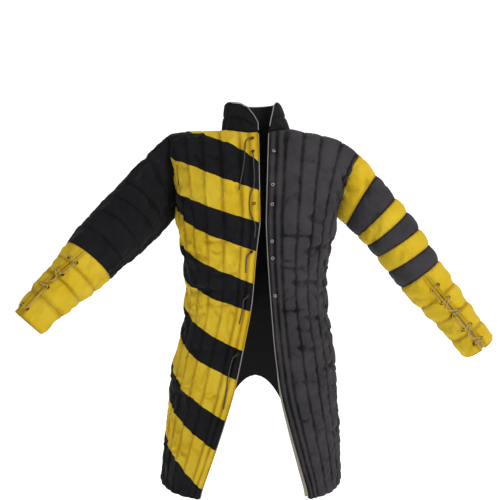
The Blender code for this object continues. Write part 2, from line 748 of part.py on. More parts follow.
def tube(name, points, radius, sides, finish):
    """A round cord through points, with closed ends."""
    curve = bpy.data.curves.new(name, "CURVE")
    curve.dimensions = "3D"
    curve.bevel_depth = radius
    curve.bevel_resolution = sides // 2 - 2
    curve.use_fill_caps = True
    spline = curve.splines.new("POLY")
    spline.points.add(len(points) - 1)
    for spot, point in zip(spline.points, points):
        spot.co = (*point, 1.0)
    curve.materials.append(finish)
    made = bpy.data.objects.new(name, curve)
    bpy.context.collection.objects.link(made)
    return made


def smooth_route(points, per_span):
    """A smooth curve through the points of a route, read at even steps of each span."""
    route = []
    ends = [points[0] * 2 - points[1], *points, points[-1] * 2 - points[-2]]
    for a, b, c, d in zip(ends, ends[1:], ends[2:], ends[3:]):
        for step in range(per_span):
            t = step / per_span
            route.append(0.5 * (2 * b + (c - a) * t + (2 * a - 5 * b + 4 * c - d) * t * t
                                + (3 * b - a - 3 * c + d) * t ** 3))
    return [*route, points[-1]]


def height_at(side, share, z):
    """Cloth height of a place on a front, from its level."""
    if z <= CHEST_Z:
        return z - HEM_Z
    x, y = level_point(side, level_angle(side, "front", share, CHEST_Z), CHEST_Z)
    top_x = shoulder_x(side, "front", x)
    top_z = lookup(SHOULDER_HEIGHT[side], max(top_x, 0.0), 1)
    turn = math.asin((z - CHEST_Z) / (top_z - CHEST_Z))
    return HEM_TO_CHEST + DOME * turn


def seat(panels, point, normal, off):
    """The place at a distance off over the outermost cloth that lies under a point."""
    highest = None
    for panel in panels:
        struck, place, facing, _ = panel.ray_cast(point + normal * 0.02, -normal)
        if struck:
            rise = (place - point).dot(normal) + off / max(0.5, facing.dot(normal))
            highest = rise if highest is None else max(highest, rise)
    return point + normal * (highest if highest is not None else BULGE + off)


def on_front(panels, side, from_edge, z, off):
    """A point over a front, given from its open edge and from the neck, and the way up from it."""
    share = from_edge / FRONT_WIDTH
    height = height_at(side, share, z)
    normal = body_normal(side, "front", share, height)
    return seat(panels, body_point(side, "front", share, height), normal, off), normal


def make_edge_trims(cream, light):
    for name, side, cuts in (("right_front_piping", RIGHT, 2), ("left_front_piping", LEFT, 1)):
        top = column_height(side, "front", 0.0)
        points = []
        for step in range(ROWS * cuts + 1):
            height = top * min(max(row_share(step / cuts), 0.002), 0.995)
            at = body_point(side, "front", 0.0, height)
            beside = body_point(side, "front", -0.02, height)
            away = (beside - at).normalized()
            normal = body_normal(side, "front", 0.0, height)
            points.append(at + away * (PIPING_RADIUS + SEAM * 2) - normal * WALL * 0.3)
        tube(name, points, PIPING_RADIUS, 6, light)
    for name, side, rolled in (("right_front_facing", RIGHT, False),
                               ("left_front_facing", LEFT, True)):
        shares = [share for share in panel_columns(side, "front") if share < FACING_SHARE]
        outer_rings, inner_rings = [], []
        for row in range(ROWS):
            outer, inner = [], []
            for share in shares:
                height = row_share(max(row, 0.04)) * column_height(side, "front", share)
                if rolled and share == 0.0:
                    share = -FACING_ROLL * max(0.0, 1 - height / ROLLED_HEIGHT) ** 0.5
                at = body_point(side, "front", share, height)
                normal = body_normal(side, "front", share, height)
                under = WALL + SEAM * 2 + (0.0 if rolled else BAND_ROOM)
                outer.append(at - normal * under)
                inner.append(at - normal * (under + FACING_WALL))
            outer_rings.append(outer)
            inner_rings.append(inner)
        add_object(name, wall_from_rings(outer_rings, inner_rings, False), cream)


def make_collar(black, light):
    outer_rings, inner_rings = collar_walls()
    add_object("collar", wall_from_rings(outer_rings, inner_rings, False), black)
    rims = [[(out_point + in_point) / 2 for out_point, in_point in zip(outer, inner)]
            for outer, inner in zip(outer_rings, inner_rings)]
    line = [(rims[1][0], rims[1][1])]
    line += list(zip(rims[-1], rims[-2]))
    line += [(ring[-1], ring[-2]) for ring in reversed(rims[1:-1])]
    points = []
    for place, (point, inside) in enumerate(line):
        after, before = line[min(place + 1, len(line) - 1)][0], line[max(place - 1, 0)][0]
        along = (after - before).normalized()
        column = Vector((point.x - COLLAR_MIDDLE_X, point.y, 0.0)).normalized()
        away = along.cross(column).normalized()
        if away.dot(point - inside) < 0:
            away = -away
        points.append(point + away * (PIPING_RADIUS + COLLAR_PIPING_SPACE))
    tube("collar_piping", points, PIPING_RADIUS, 6, light)


def make_eyelet(name, middle, normal, finish):
    """A stamped metal ring, lying on the cloth."""
    bm = bmesh.new()
    profile = [(EYELET_HOLE, 0.0), (EYELET_RADIUS, 0.0), (EYELET_RADIUS - 0.0006, EYELET_RISE),
               (EYELET_HOLE, EYELET_RISE)]
    verts = [bm.verts.new((x, 0.0, z)) for x, z in profile]
    edges = [bm.edges.new((a, b)) for a, b in zip(verts, verts[1:] + verts[:1])]
    bmesh.ops.spin(bm, geom=verts + edges, cent=(0, 0, 0), axis=(0, 0, 1),
                   angle=2 * math.pi, steps=EYELET_SIDES, use_merge=True)
    turn = Vector((0.0, 0.0, 1.0)).rotation_difference(normal).to_matrix().to_4x4()
    bm.transform(Matrix.Translation(middle) @ turn)
    add_object(name, bm, finish)


def make_fastenings(black, tan, brass):
    bpy.context.view_layer.update()
    fronts = {side: [item for item in bpy.data.objects if item.name.startswith(start)]
              for side, start in ((RIGHT, "right_front_band"), (LEFT, "left_front"))}
    for name, side, levels in (("right_front_eyelet", RIGHT, RIGHT_EYELETS),
                               ("left_front_eyelet", LEFT, LEFT_EYELETS)):
        for number, z in enumerate(levels, start=1):
            middle, normal = on_front(fronts[side], side, EYELET_FROM_EDGE, z, 0.0)
            rims = [on_front(fronts[side], side, EYELET_FROM_EDGE + across, z + up, 0.0)[0]
                    for across, up in EYELET_FEET]
            lift = max((rim - middle).dot(normal) for rim in rims)
            make_eyelet(f"{name}_{number}", middle + normal * (max(lift, 0.0) + SEAM * 3), normal,
                        brass)
    for number, route in enumerate(TIES, start=1):
        points = [on_front(fronts[RIGHT], RIGHT, from_edge, z, TIE_RADIUS + lift)[0]
                  for from_edge, z, lift in route]
        tube(f"front_tie_{number}", smooth_route(points, 3), TIE_RADIUS, 8, black)
    for cuff in CUFFS:
        cloth = [bpy.data.objects[f"{cuff['name']}_cuff"]]
        points = []
        for number in range(2 * cuff["pairs"] - 1):
            share = cuff["first_pair"] + cuff["pair_step"] * number / 2
            half = LACE_HALF / sleeve_frame(cuff["rows"], share)[2]
            ends = []
            for way in (-1, 1) if number % 4 < 2 else (1, -1):
                turn = slit_angle(cuff, share) + way * half
                base = cuff_point(cuff, share, turn, 0.0)
                normal = (cuff_point(cuff, share, turn, 0.01) - base).normalized()
                ends.append(seat(cloth, base, normal, LACE_RADIUS + LACE_LIFT))
            if number % 2:
                points.append(ends[0] if number % 4 == 3 else ends[1])
                continue
            outward = cuff_point(cuff, share, slit_angle(cuff, share), 0.01)
            outward = (outward - cuff_point(cuff, share, slit_angle(cuff, share), 0.0)).normalized()
            points += [ends[0], (ends[0] + ends[1]) / 2 + outward * LACE_ARCH, ends[1]]
        tube(f"{cuff['name']}_cuff_lace", smooth_route(points, 2), LACE_RADIUS, 8, tan)


def main():
    clear_scene()
    black = material("black_cotton", "2A292D", 0.85)
    yellow = material("yellow_cotton", "D9B820", 0.85)
    cream = material("cream_cotton", "C8C0A8", 0.9)
    light = material("light_piping", "D8D4C8", 0.8)
    tie_black = material("black_cord", "141316", 0.7)
    tan = material("tan_cord", "B09050", 0.8)
    brass = material("aged_brass", "8A7A5A", 0.4, 1.0)
    make_body(black, yellow)
    make_upper_sleeves(black, yellow)
    for cuff in CUFFS:
        make_cuff(cuff, yellow, cream)
    make_edge_trims(cream, light)
    make_collar(black, light)
    make_fastenings(tie_black, tan, brass)


main()
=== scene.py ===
import math

import bmesh
import bpy
import numpy as np
from mathutils import Matrix, Vector


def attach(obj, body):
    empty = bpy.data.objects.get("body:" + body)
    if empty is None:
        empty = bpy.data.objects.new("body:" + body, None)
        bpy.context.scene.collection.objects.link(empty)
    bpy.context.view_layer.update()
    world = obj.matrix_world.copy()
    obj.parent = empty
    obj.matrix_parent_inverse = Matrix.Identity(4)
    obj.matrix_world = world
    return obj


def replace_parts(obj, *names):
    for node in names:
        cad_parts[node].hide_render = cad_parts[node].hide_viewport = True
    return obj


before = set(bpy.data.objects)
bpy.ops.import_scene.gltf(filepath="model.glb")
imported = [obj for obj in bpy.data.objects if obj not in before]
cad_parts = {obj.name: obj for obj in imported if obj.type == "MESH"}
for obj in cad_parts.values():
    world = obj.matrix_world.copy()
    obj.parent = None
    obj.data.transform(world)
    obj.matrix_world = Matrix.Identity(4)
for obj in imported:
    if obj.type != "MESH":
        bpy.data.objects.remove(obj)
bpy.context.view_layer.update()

# Camera, light and floor: the coat is seen from the front at chest height, a little from above,
# in soft daylight that comes from the left of its wearer.
EYE = (-0.015, -1.75, -0.17)
EYE_PITCH = math.radians(4.14)
LENS_MM = 49.68
SENSOR_MM = 36.0
COAT_MIDDLE = Vector((0.0, 0.0, -0.4))
SKY_STRENGTH = 0.3
BOARD_GLOW = 0.6
FLOOR_Z = -1.42


def linear(code):
    """A colour written as six hex digits of sRGB, as linear values."""
    values = []
    for place in (0, 2, 4):
        part = int(code[place:place + 2], 16) / 255
        values.append(part / 12.92 if part <= 0.04045 else ((part + 0.055) / 1.055) ** 2.4)
    return (*values, 1.0)


def add_node(tree, kind, settings=(), links=()):
    """Adds a shader node, gives its sockets or properties their values, and links its inputs."""
    node = tree.nodes.new("ShaderNode" + kind)
    for name, value in dict(settings).items():
        if isinstance(name, str) and hasattr(node, name):
            setattr(node, name, value)
        else:
            node.inputs[name].default_value = value
    for name, source in dict(links).items():
        tree.links.new(source, node.inputs[name])
    return node


def new_material(name):
    """An empty material, its tree, its shader, and places on the piece in metres."""
    made = bpy.data.materials.new(name)
    made.use_nodes = True
    tree = made.node_tree
    spot = add_node(tree, "TexCoord").outputs["Object"]
    return made, tree, tree.nodes["Principled BSDF"], spot


def tone_between(tree, dark, light, share):
    """A colour between two hex ones, by a share from 0 to 1."""
    mixed = add_node(tree, "Mix", {"data_type": "RGBA", 6: linear(dark), 7: linear(light)},
                     {0: share})
    return mixed.outputs[2]


def put_in_scene(name, data):
    """Makes an object of a camera, lamp, mesh or curve."""
    made = bpy.data.objects.new(name, data)
    bpy.context.collection.objects.link(made)
    return made


eye = bpy.data.cameras.new("camera")
eye.lens = LENS_MM
eye.sensor_width = SENSOR_MM
camera = put_in_scene("camera", eye)
camera.location = EYE
camera.rotation_euler = (math.radians(90) - EYE_PITCH, 0.0, 0.0)
bpy.context.scene.camera = camera

for name, place, size, power, tint in (
        ("key_light", (1.5, -1.5, 1.6), 0.8, 46.0, "FFFCF6"),
        ("fill_light", (-2.0, -1.7, 0.8), 1.6, 9.0, "F2F5FF"),
        ("back_light", (0.2, 2.0, 1.4), 1.6, 10.0, "FFFFFF")):
    lamp = bpy.data.lights.new(name, "AREA")
    lamp.size = size
    lamp.energy = power
    lamp.color = linear(tint)[:3]
    lit = put_in_scene(name, lamp)
    lit.location = place
    lit.rotation_euler = (COAT_MIDDLE - Vector(place)).to_track_quat("-Z", "Y").to_euler()

sky = bpy.data.worlds.new("studio")
sky.use_nodes = True
sky.node_tree.nodes["Background"].inputs["Color"].default_value = linear("FFFFFF")
sky.node_tree.nodes["Background"].inputs["Strength"].default_value = SKY_STRENGTH
bpy.context.scene.world = sky
bpy.context.scene.view_settings.view_transform = "Standard"

bm = bmesh.new()
bmesh.ops.create_grid(bm, x_segments=1, y_segments=1, size=1.0)
bmesh.ops.scale(bm, vec=(6.0, 5.0, 1.0), verts=bm.verts)
bmesh.ops.translate(bm, vec=(0.0, 0.0, FLOOR_Z), verts=bm.verts)
back_edge = [edge for edge in bm.edges if all(vert.co.y > 0 for vert in edge.verts)]
risen = bmesh.ops.extrude_edge_only(bm, edges=back_edge)["geom"]
bmesh.ops.translate(bm, vec=(0.0, 0.0, 7.0),
                    verts=[item for item in risen if isinstance(item, bmesh.types.BMVert)])
bend = [edge for edge in bm.edges if all(vert.co.y > 0 and vert.co.z < 0 for vert in edge.verts)]
bmesh.ops.bevel(bm, geom=bend, offset=1.6, segments=16, profile=0.5, affect="EDGES", material=-1)
bmesh.ops.recalc_face_normals(bm, faces=bm.faces)
floor_mesh = bpy.data.meshes.new("floor")
bm.to_mesh(floor_mesh)
bm.free()
floor_mesh.shade_smooth()
# Painted studio board: matt and almost white
board, tree, shader, spot = new_material("painted_board")
shader.inputs["Roughness"].default_value = 0.9
paint = add_node(tree, "TexNoise", {"Scale": 3.0, "Detail": 3.0}, {"Vector": spot})
tree.links.new(tone_between(tree, "F6F6F6", "FFFFFF", paint.outputs["Fac"]),
               shader.inputs["Base Color"])
shader.inputs["Emission Color"].default_value = linear("FFFFFF")
shader.inputs["Emission Strength"].default_value = BOARD_GLOW
floor_mesh.materials.append(board)
put_in_scene("floor", floor_mesh)


# Ties: five round waxed cotton cords that hang by one end from the eyelets of the wearer's right
# front. Each is knotted behind its eyelet and cut off bare, and lies on the quilting below it.
TIE_DIAMETER = 0.0028
TIE_ROUTES = {
    "front_tie_1": (
        0.142,
        (-0.0091, -0.1088, -0.0222), (-0.0230, -0.1093, -0.0279), (-0.0265, -0.1209, -0.0467),
        (-0.0291, -0.1316, -0.0818), (-0.0356, -0.1398, -0.1209), (-0.0410, -0.1434, -0.1473)),
    "front_tie_2": (
        0.208,
        (-0.0082, -0.1257, -0.0563), (-0.0070, -0.1328, -0.0746), (-0.0052, -0.1454, -0.1313),
        (-0.0149, -0.1452, -0.1596), (-0.0154, -0.1484, -0.1958), (-0.0027, -0.1519, -0.2282),
        (-0.0046, -0.1494, -0.2564)),
    "front_tie_3": (
        0.054,
        (-0.0121, -0.1483, -0.2927), (-0.0222, -0.1456, -0.3016), (-0.0249, -0.1397, -0.3404)),
    "front_tie_4": (
        0.070,
        (-0.0202, -0.1395, -0.3972), (-0.0296, -0.1368, -0.4060), (-0.0327, -0.1352, -0.4298),
        (-0.0405, -0.1380, -0.4615)),
    "front_tie_5": (
        0.134,
        (-0.0455, -0.1520, -0.5337), (-0.0562, -0.1510, -0.5430), (-0.0664, -0.1567, -0.5841),
        (-0.0710, -0.1581, -0.6196), (-0.0779, -0.1638, -0.6595)),
}


def smooth_route(points, per_span):
    """A smooth curve through the points of a route, read at even steps of each span."""
    points = [Vector(point) for point in points]
    route = []
    ends = [points[0] * 2 - points[1], *points, points[-1] * 2 - points[-2]]
    for a, b, c, d in zip(ends, ends[1:], ends[2:], ends[3:]):
        for step in range(per_span):
            t = step / per_span
            route.append(0.5 * (2 * b + (c - a) * t + (2 * a - 5 * b + 4 * c - d) * t * t
                                + (3 * b - a - 3 * c + d) * t ** 3))
    return [*route, points[-1]]


def coat_piece(name, data):
    """Adds a piece of the coat, which is all one body."""
    made = put_in_scene(name, data)
    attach(made, "root")
    return made


def cord_piece(name, points, diameter, finish):
    """A round cord through points, as a curve of one open spline."""
    curve = bpy.data.curves.new(name, "CURVE")
    curve.dimensions = "3D"
    curve.bevel_depth = diameter / 2
    curve.bevel_resolution = 3
    curve.use_fill_caps = True
    spline = curve.splines.new("POLY")
    spline.points.add(len(points) - 1)
    for spot, point in zip(spline.points, points):
        spot.co = (*point, 1.0)
    spline.use_smooth = True
    curve.materials.append(finish)
    return coat_piece(name, curve)


def finish_shader(tree, shader, colour, relief, depth, strength, roughness):
    """Joins a colour and a relief to the shader. A relief of 1 stands depth metres high."""
    bump = add_node(tree, "Bump", {"Strength": strength, "Distance": depth}, {"Height": relief})
    tree.links.new(colour, shader.inputs["Base Color"])
    tree.links.new(bump.outputs["Normal"], shader.inputs["Normal"])
    shader.inputs["Roughness"].default_value = roughness


def twisted_cord(name, face, shade, roughness, ply_mm):
    """Cord of twisted cotton: ply_mm is the length of one turn of its plies along the cord."""
    made, tree, shader, spot = new_material(name)
    # A wave's bands lie 0.314 / scale apart
    plies = add_node(tree, "TexWave",
                     {"wave_type": "BANDS", "bands_direction": "DIAGONAL",
                      "Scale": 0.314 / (ply_mm / 1000), "Distortion": 0.6, "Detail": 1.0},
                     {"Vector": spot}).outputs["Fac"]
    fluff = add_node(tree, "TexNoise", {"Scale": 900.0, "Detail": 2.0}, {"Vector": spot})
    height = add_node(tree, "Math", {"operation": "MULTIPLY_ADD", 1: 0.3},
                      {0: fluff.outputs["Fac"], 2: plies})
    # Painted shade: the colour is the shade colour in the grooves between the plies and the face
    # colour on their crowns
    finish_shader(tree, shader, tone_between(tree, shade, face, plies), height.outputs[0],
                  0.0004, 0.7, roughness)
    return made


# Waxed cotton: black, rubbed a little brown, with a dull gloss on each ply and painted shade
# between the plies
waxed_cord = twisted_cord("waxed_black_cord", "4E4843", "221D1A", 0.5, 2.0)
for name, (length, *route) in TIE_ROUTES.items():
    tie = cord_piece(f"cord_{name}", smooth_route(route, 8), TIE_DIAMETER, waxed_cord)
    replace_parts(tie, name)


# Cuff laces: one tan cotton cord in each cuff, laced across the slit from eyelet to eyelet. It
# starts in the first eyelet and ends in the last one.
LACE_DIAMETER = 0.0026
LACE_ROUTES = {
    "right_cuff_lace": (
        0.277,
        (-0.4305, -0.1731, -0.2989), (-0.4210, -0.1786, -0.3043), (-0.4116, -0.1807, -0.3118),
        (-0.4266, -0.1841, -0.3254), (-0.4416, -0.1899, -0.3364), (-0.4511, -0.1865, -0.3292),
        (-0.4604, -0.1798, -0.3243), (-0.4566, -0.1943, -0.3490), (-0.4916, -0.1888, -0.3573),
        (-0.4826, -0.1961, -0.3605), (-0.4729, -0.2004, -0.3663), (-0.4923, -0.2117, -0.3862),
        (-0.5141, -0.2199, -0.4108), (-0.5238, -0.2139, -0.4052), (-0.5325, -0.2050, -0.4020)),
    "left_cuff_lace": (
        0.352,
        (0.4460, -0.0756, -0.3759), (0.4364, -0.0777, -0.3836), (0.4271, -0.0758, -0.3916),
        (0.4405, -0.0751, -0.4070), (0.4539, -0.0745, -0.4223), (0.4629, -0.0762, -0.4146),
        (0.4722, -0.0739, -0.4072), (0.4665, -0.0771, -0.4378), (0.4993, -0.0770, -0.4382),
        (0.4894, -0.0795, -0.4458), (0.4797, -0.0779, -0.4538), (0.4936, -0.0775, -0.4705),
        (0.5074, -0.0785, -0.4876), (0.5169, -0.0799, -0.4799), (0.5265, -0.0773, -0.4728),
        (0.5206, -0.0815, -0.5049), (0.5544, -0.0813, -0.5066), (0.5443, -0.0840, -0.5141),
        (0.5343, -0.0828, -0.5221)),
}
# Dull tan cotton, matt, with painted shade between the plies
lace_cotton = twisted_cord("tan_cotton_cord", "E0C676", "9A7C30", 0.85, 2.0)
for name, (length, *route) in LACE_ROUTES.items():
    lace = cord_piece(f"cord_{name}", smooth_route(route, 6), LACE_DIAMETER, lace_cotton)
    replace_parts(lace, name)


# Body: two fronts and two back halves of cotton padded with wool and lined with plain cotton, each
# quilted by rows of stitching from hem to shoulder. The wearer's right front is pieced from twelve
# bands, yellow and black in turn, before it is quilted; the rest is black.
WALL = 0.0085
BULGE = 0.0035            # rise of the padding in the middle of a channel
SEAM = 0.0003
SEAM_ROOM = 3 * SEAM      # from the body's edge to a sleeve or the collar
FADE = 0.03               # the padding thins out over this much cloth below its upper edges
CLOTH_HEIGHT = 0.87
HEM_Z = -0.875
CHEST_Z = -0.225
HEM_TO_CHEST = CHEST_Z - HEM_Z
DOME = 0.14
DOME_HALF = 0.25
DOME_DEPTH = 0.14
DOME_HEIGHT = 0.20
DOME_START = 0.5
SQUARENESS = 2.6
DEPTH_POWER = 0.6
WIDTH_POWER = 0.55
NECK_HALF = 0.085
NECK_DEPTH = 0.088
TIP_FRONT = 0.718
TIP_BACK = 0.28
UNDERARM = 0.09
ARMHOLE_POWER = 1.3
VENT_TOP = -0.66
VENT_HALF = 0.125
VENT_POWER = 0.5
SIDE_SWING = math.radians(6)
WAIST_Z = -0.40
TRIM = SEAM / 2 / 0.25
RIGHT = -1
LEFT = 1
PANEL_WIDTH = 0.25        # cloth from a front edge to its side seam
LEVELS = (
    # z, right, left, front, back
    (-0.875, 0.2415, 0.214, 0.185, 0.190),
    (-0.738, 0.225, 0.208, 0.172, 0.178),
    (-0.627, 0.213, 0.199, 0.160, 0.163),
    (-0.534, 0.197, 0.193, 0.146, 0.142),
    (-0.471, 0.179, 0.180, 0.134, 0.118),
    (-0.399, 0.176, 0.174, 0.130, 0.108),
    (-0.302, 0.183, 0.181, 0.140, 0.118),
    (-0.225, 0.195, 0.2005, 0.147, 0.130),
)
FRONT_EDGES = (
    # z, right front, left front
    (-0.875, -0.138, 0.128),
    (-0.739, -0.090, 0.089),
    (-0.627, -0.055, 0.059),
    (-0.530, -0.034, 0.046),
    (-0.420, -0.012, 0.037),
    (-0.300, -0.003, 0.028),
    (-0.230, 0.006, 0.025),
    (-0.180, 0.011, 0.022),
)
SHOULDER_SPREAD = {
    RIGHT: ((-0.03, -0.03), (0.057, 0.073), (0.098, 0.115), (0.134, 0.155), (0.178, 0.2215)),
    LEFT: ((-0.03, -0.03), (0.057, 0.072), (0.098, 0.121), (0.134, 0.166), (0.185, 0.262)),
}
SHOULDER_HEIGHT = {
    RIGHT: ((0.0, 0.015), (0.085, 0.0), (0.176, -0.002), (0.2215, -0.009)),
    LEFT: ((0.0, 0.015), (0.098, 0.0), (0.174, -0.014), (0.217, -0.029), (0.262, -0.061)),
}
FRONT_LINES = (0.0, 0.058, 0.125, 0.267, 0.42, 0.57, 0.72, 0.86, 1.0)
BACK_LINES = (0.0, 0.14, 0.28, 0.42, 0.57, 0.715, 0.86, 1.0)
BAND_SEAMS = (
    # cloth height above the hem at the front edge, at the side seam
    (0.740, 0.966), (0.696, 0.780), (0.652, 0.710), (0.586, 0.6806), (0.509, 0.606),
    (0.442, 0.522), (0.350, 0.450), (0.283, 0.379), (0.188, 0.302), (0.118, 0.2305),
    (0.025, 0.145),
)
CELL_ACROSS = 0.0032      # cells of the modelled cloth
CELL_ALONG = 0.0044


def read_rows(rows, keys, column):
    """Reads a column of a table between its rows; the first column is the key."""
    rows = sorted(rows)
    return np.interp(keys, [row[0] for row in rows], [row[column] for row in rows])


def read_smooth(rows, keys, column):
    """The same, rounded off at the rows by averaging nearby readings."""
    reach = 0.03
    return sum(read_rows(rows, keys + step * reach, column)
               for step in (-1.0, -0.5, 0.0, 0.5, 1.0)) / 5


def unit(vectors):
    """Vectors brought to a length of one."""
    return vectors / np.maximum(np.linalg.norm(vectors, axis=-1, keepdims=True), 1e-12)


def pointing(vectors, towards):
    """Vectors turned round where they point away from the given way."""
    return vectors * np.where((vectors * towards).sum(-1, keepdims=True) < 0, -1, 1)


def level_point(side, angle, z):
    """A point of the level section at z; the angle is 0 at the front middle and pi at the back."""
    half = read_smooth(LEVELS, z, 1 if side == RIGHT else 2)
    across = np.sin(angle)
    to_front = np.cos(angle) > 0
    depth = np.where(to_front, -read_smooth(LEVELS, z, 3), read_smooth(LEVELS, z, 4))
    reach = np.maximum(0.0, 1 - np.abs(across) ** SQUARENESS) ** (1 / SQUARENESS)
    return half * across, depth * reach


def level_angle(side, panel, share, z):
    """Where a panel's share of the width lies round the level section at z."""
    half = read_smooth(LEVELS, z, 1 if side == RIGHT else 2)
    drop = np.maximum(0.0, (WAIST_Z - z) / (WAIST_Z - HEM_Z))
    side_angle = math.pi / 2 + SIDE_SWING * drop
    if panel == "front":
        edge = side * read_smooth(FRONT_EDGES, z, 1 if side == RIGHT else 2)
        start = np.arcsin(edge / half)
        return start + (side_angle - start) * share
    open_share = np.maximum(0.0, (VENT_TOP - z) / (VENT_TOP - HEM_Z))
    gap = SEAM / 2 + VENT_HALF * open_share ** VENT_POWER
    shut = np.arcsin(SEAM / 2 / half)
    # The spreading vent pushes the cloth aside, at its top mostly the cloth next to it
    pushed = (np.arcsin(gap / half) - shut) * share ** (1 + (1 - open_share) ** 3)
    return side_angle + (math.pi - shut - side_angle) * share - pushed


def shoulder_x(side, panel, x):
    """Where the channel at x of the chest crosses the shoulder ridge; the back halves meet."""
    rows = SHOULDER_SPREAD[side]
    if panel == "back":
        rows = ((0.0, 0.0), *rows[1:])
    return read_rows(rows, x, 1)


def body_point(side, panel, share, height):
    """Points of the outer cloth by their share of the width and cloth height above the hem."""
    sense = -1 if panel == "front" else 1
    z = np.minimum(HEM_Z + height, CHEST_Z)
    x, y = level_point(side, level_angle(side, panel, share, z), z)
    turn = np.clip((height - HEM_TO_CHEST) / DOME, 0.0, math.pi / 2)
    top_x = shoulder_x(side, panel, x)
    top_z = read_rows(SHOULDER_HEIGHT[side], np.maximum(top_x, 0.0), 1)
    draw_in = np.maximum(np.cos(turn), 0.0) ** DEPTH_POWER
    draw_in = np.where(turn > math.pi / 2 - 1e-9, 0.0, draw_in)
    widen = np.maximum(1 - np.cos(turn), 0.0) ** WIDTH_POWER
    z = z + (top_z - CHEST_Z) * np.sin(turn)
    return np.stack([side * (x + (top_x - x) * widen), y * draw_in + sense * SEAM / 2, z], axis=-1)


def column_height(side, panel, share):
    """Cloth height of a column: it ends at the neckline, the shoulder seam or the armhole."""
    chest = np.full_like(share, CHEST_Z)
    x, y = level_point(side, level_angle(side, panel, share, chest), chest)
    top_x = shoulder_x(side, panel, x)
    into_armhole = share - TIP_FRONT if panel == "front" else TIP_BACK - share
    span = 1 - TIP_FRONT if panel == "front" else TIP_BACK
    wanted = NECK_DEPTH * np.sqrt(np.maximum(0.0, 1 - (top_x / NECK_HALF) ** 2))
    neck_turn = np.arccos(np.minimum(1.0, wanted / np.maximum(np.abs(y), 1e-9))
                          ** (1 / DEPTH_POWER))
    left = np.maximum(0.0, 1 - into_armhole / span)
    arm_turn = UNDERARM + (math.pi / 2 - UNDERARM) * left ** ARMHOLE_POWER
    turn = np.where(np.abs(top_x) < NECK_HALF, neck_turn,
                    np.where(into_armhole <= 0, math.pi / 2, arm_turn))
    return HEM_TO_CHEST + DOME * turn


def body_normal(side, panel, share, height):
    """Which way the cloth faces there."""
    step = 0.006
    top = column_height(side, panel, np.clip(share, 0.0, 1.0))
    lowest = -0.2 if panel == "front" else 0.0
    low_share, high_share = np.maximum(share - step, lowest), np.minimum(share + step, 1.0)
    low, high = np.maximum(height - step, 0.0), np.minimum(height + step, top)
    across = (body_point(side, panel, high_share, height)
              - body_point(side, panel, low_share, height))
    up = body_point(side, panel, share, high) - body_point(side, panel, share, low)
    normal = unit(np.cross(across, up))
    at = body_point(side, panel, share, height)
    normal = pointing(normal, at * (1, 1, 0) + (0, 0, 0.02))
    turn = (height - HEM_TO_CHEST) / DOME
    dome = unit(np.stack([at[..., 0] / DOME_HALF ** 2, at[..., 1] / DOME_DEPTH ** 2,
                          (at[..., 2] - CHEST_Z) / DOME_HEIGHT ** 2], axis=-1))
    lead = np.clip(turn / DOME_START, 0.0, 1.0)[..., None]
    normal = unit(normal + (dome - normal) * lead)
    on_side = share > 1 - 2 * TRIM if panel == "front" else share < 2 * TRIM
    on_shoulder = height > HEM_TO_CHEST + DOME * math.pi / 2 - 1e-5
    normal[..., 1] = np.where(on_side | on_shoulder, 0.0, normal[..., 1])
    if panel == "back":
        normal[..., 0] = np.where(share > 1 - 1e-6, 0.0, normal[..., 0])
    return unit(normal)


def crowded(lines, width, cell):
    """Places across a panel's channels, closer together beside each line of stitching."""
    places = []
    for low, high in zip(lines, lines[1:]):
        count = max(4, 2 * round((high - low) * width / cell / 2))
        for step in range(count):
            even = step / count
            eased = 0.5 - 0.5 * math.cos(math.pi * even)
            places.append(low + (high - low) * (0.6 * even + 0.4 * eased))
    return np.array([*places, lines[-1]])


def channel(lines, share):
    """How high the padding stands there, from 0 on the stitching to 1 in a channel's middle, and
    the distance to the stitching as a share of the width."""
    lines = np.array(lines)
    at = np.clip(np.searchsorted(lines, share, side="right") - 1, 0, len(lines) - 2)
    low, high = lines[at], lines[at + 1]
    place = np.clip(2 * (share - low) / (high - low) - 1, -1.0, 1.0)
    return 1 - np.abs(place) ** 2.6, np.minimum(np.abs(share - low), np.abs(high - share))


def on_lines(places, lines):
    """Which of the places lie on a line of stitching."""
    return np.min(np.abs(places[:, None] - np.array(lines)[None, :]), axis=1) < 1e-7


def flat_cloth(across, along):
    """Cloth laid flat, in cells whose corners lie at the given places across and along it."""
    bm = bmesh.new()
    bmesh.ops.create_grid(bm, x_segments=len(across) - 1, y_segments=len(along) - 1, size=0.5)
    for vert in bm.verts:
        vert.co = (across[round((vert.co.x + 0.5) * (len(across) - 1))],
                   along[round((vert.co.y + 0.5) * (len(along) - 1))], 0.0)
    return bm


def thicken(bm):
    """Gives flat cloth its second face and its edges."""
    made = bmesh.ops.extrude_face_region(bm, geom=bm.faces[:])["geom"]
    bmesh.ops.translate(bm, vec=(0.0, 0.0, 1.0),
                        verts=[item for item in made if isinstance(item, bmesh.types.BMVert)])
    return bm


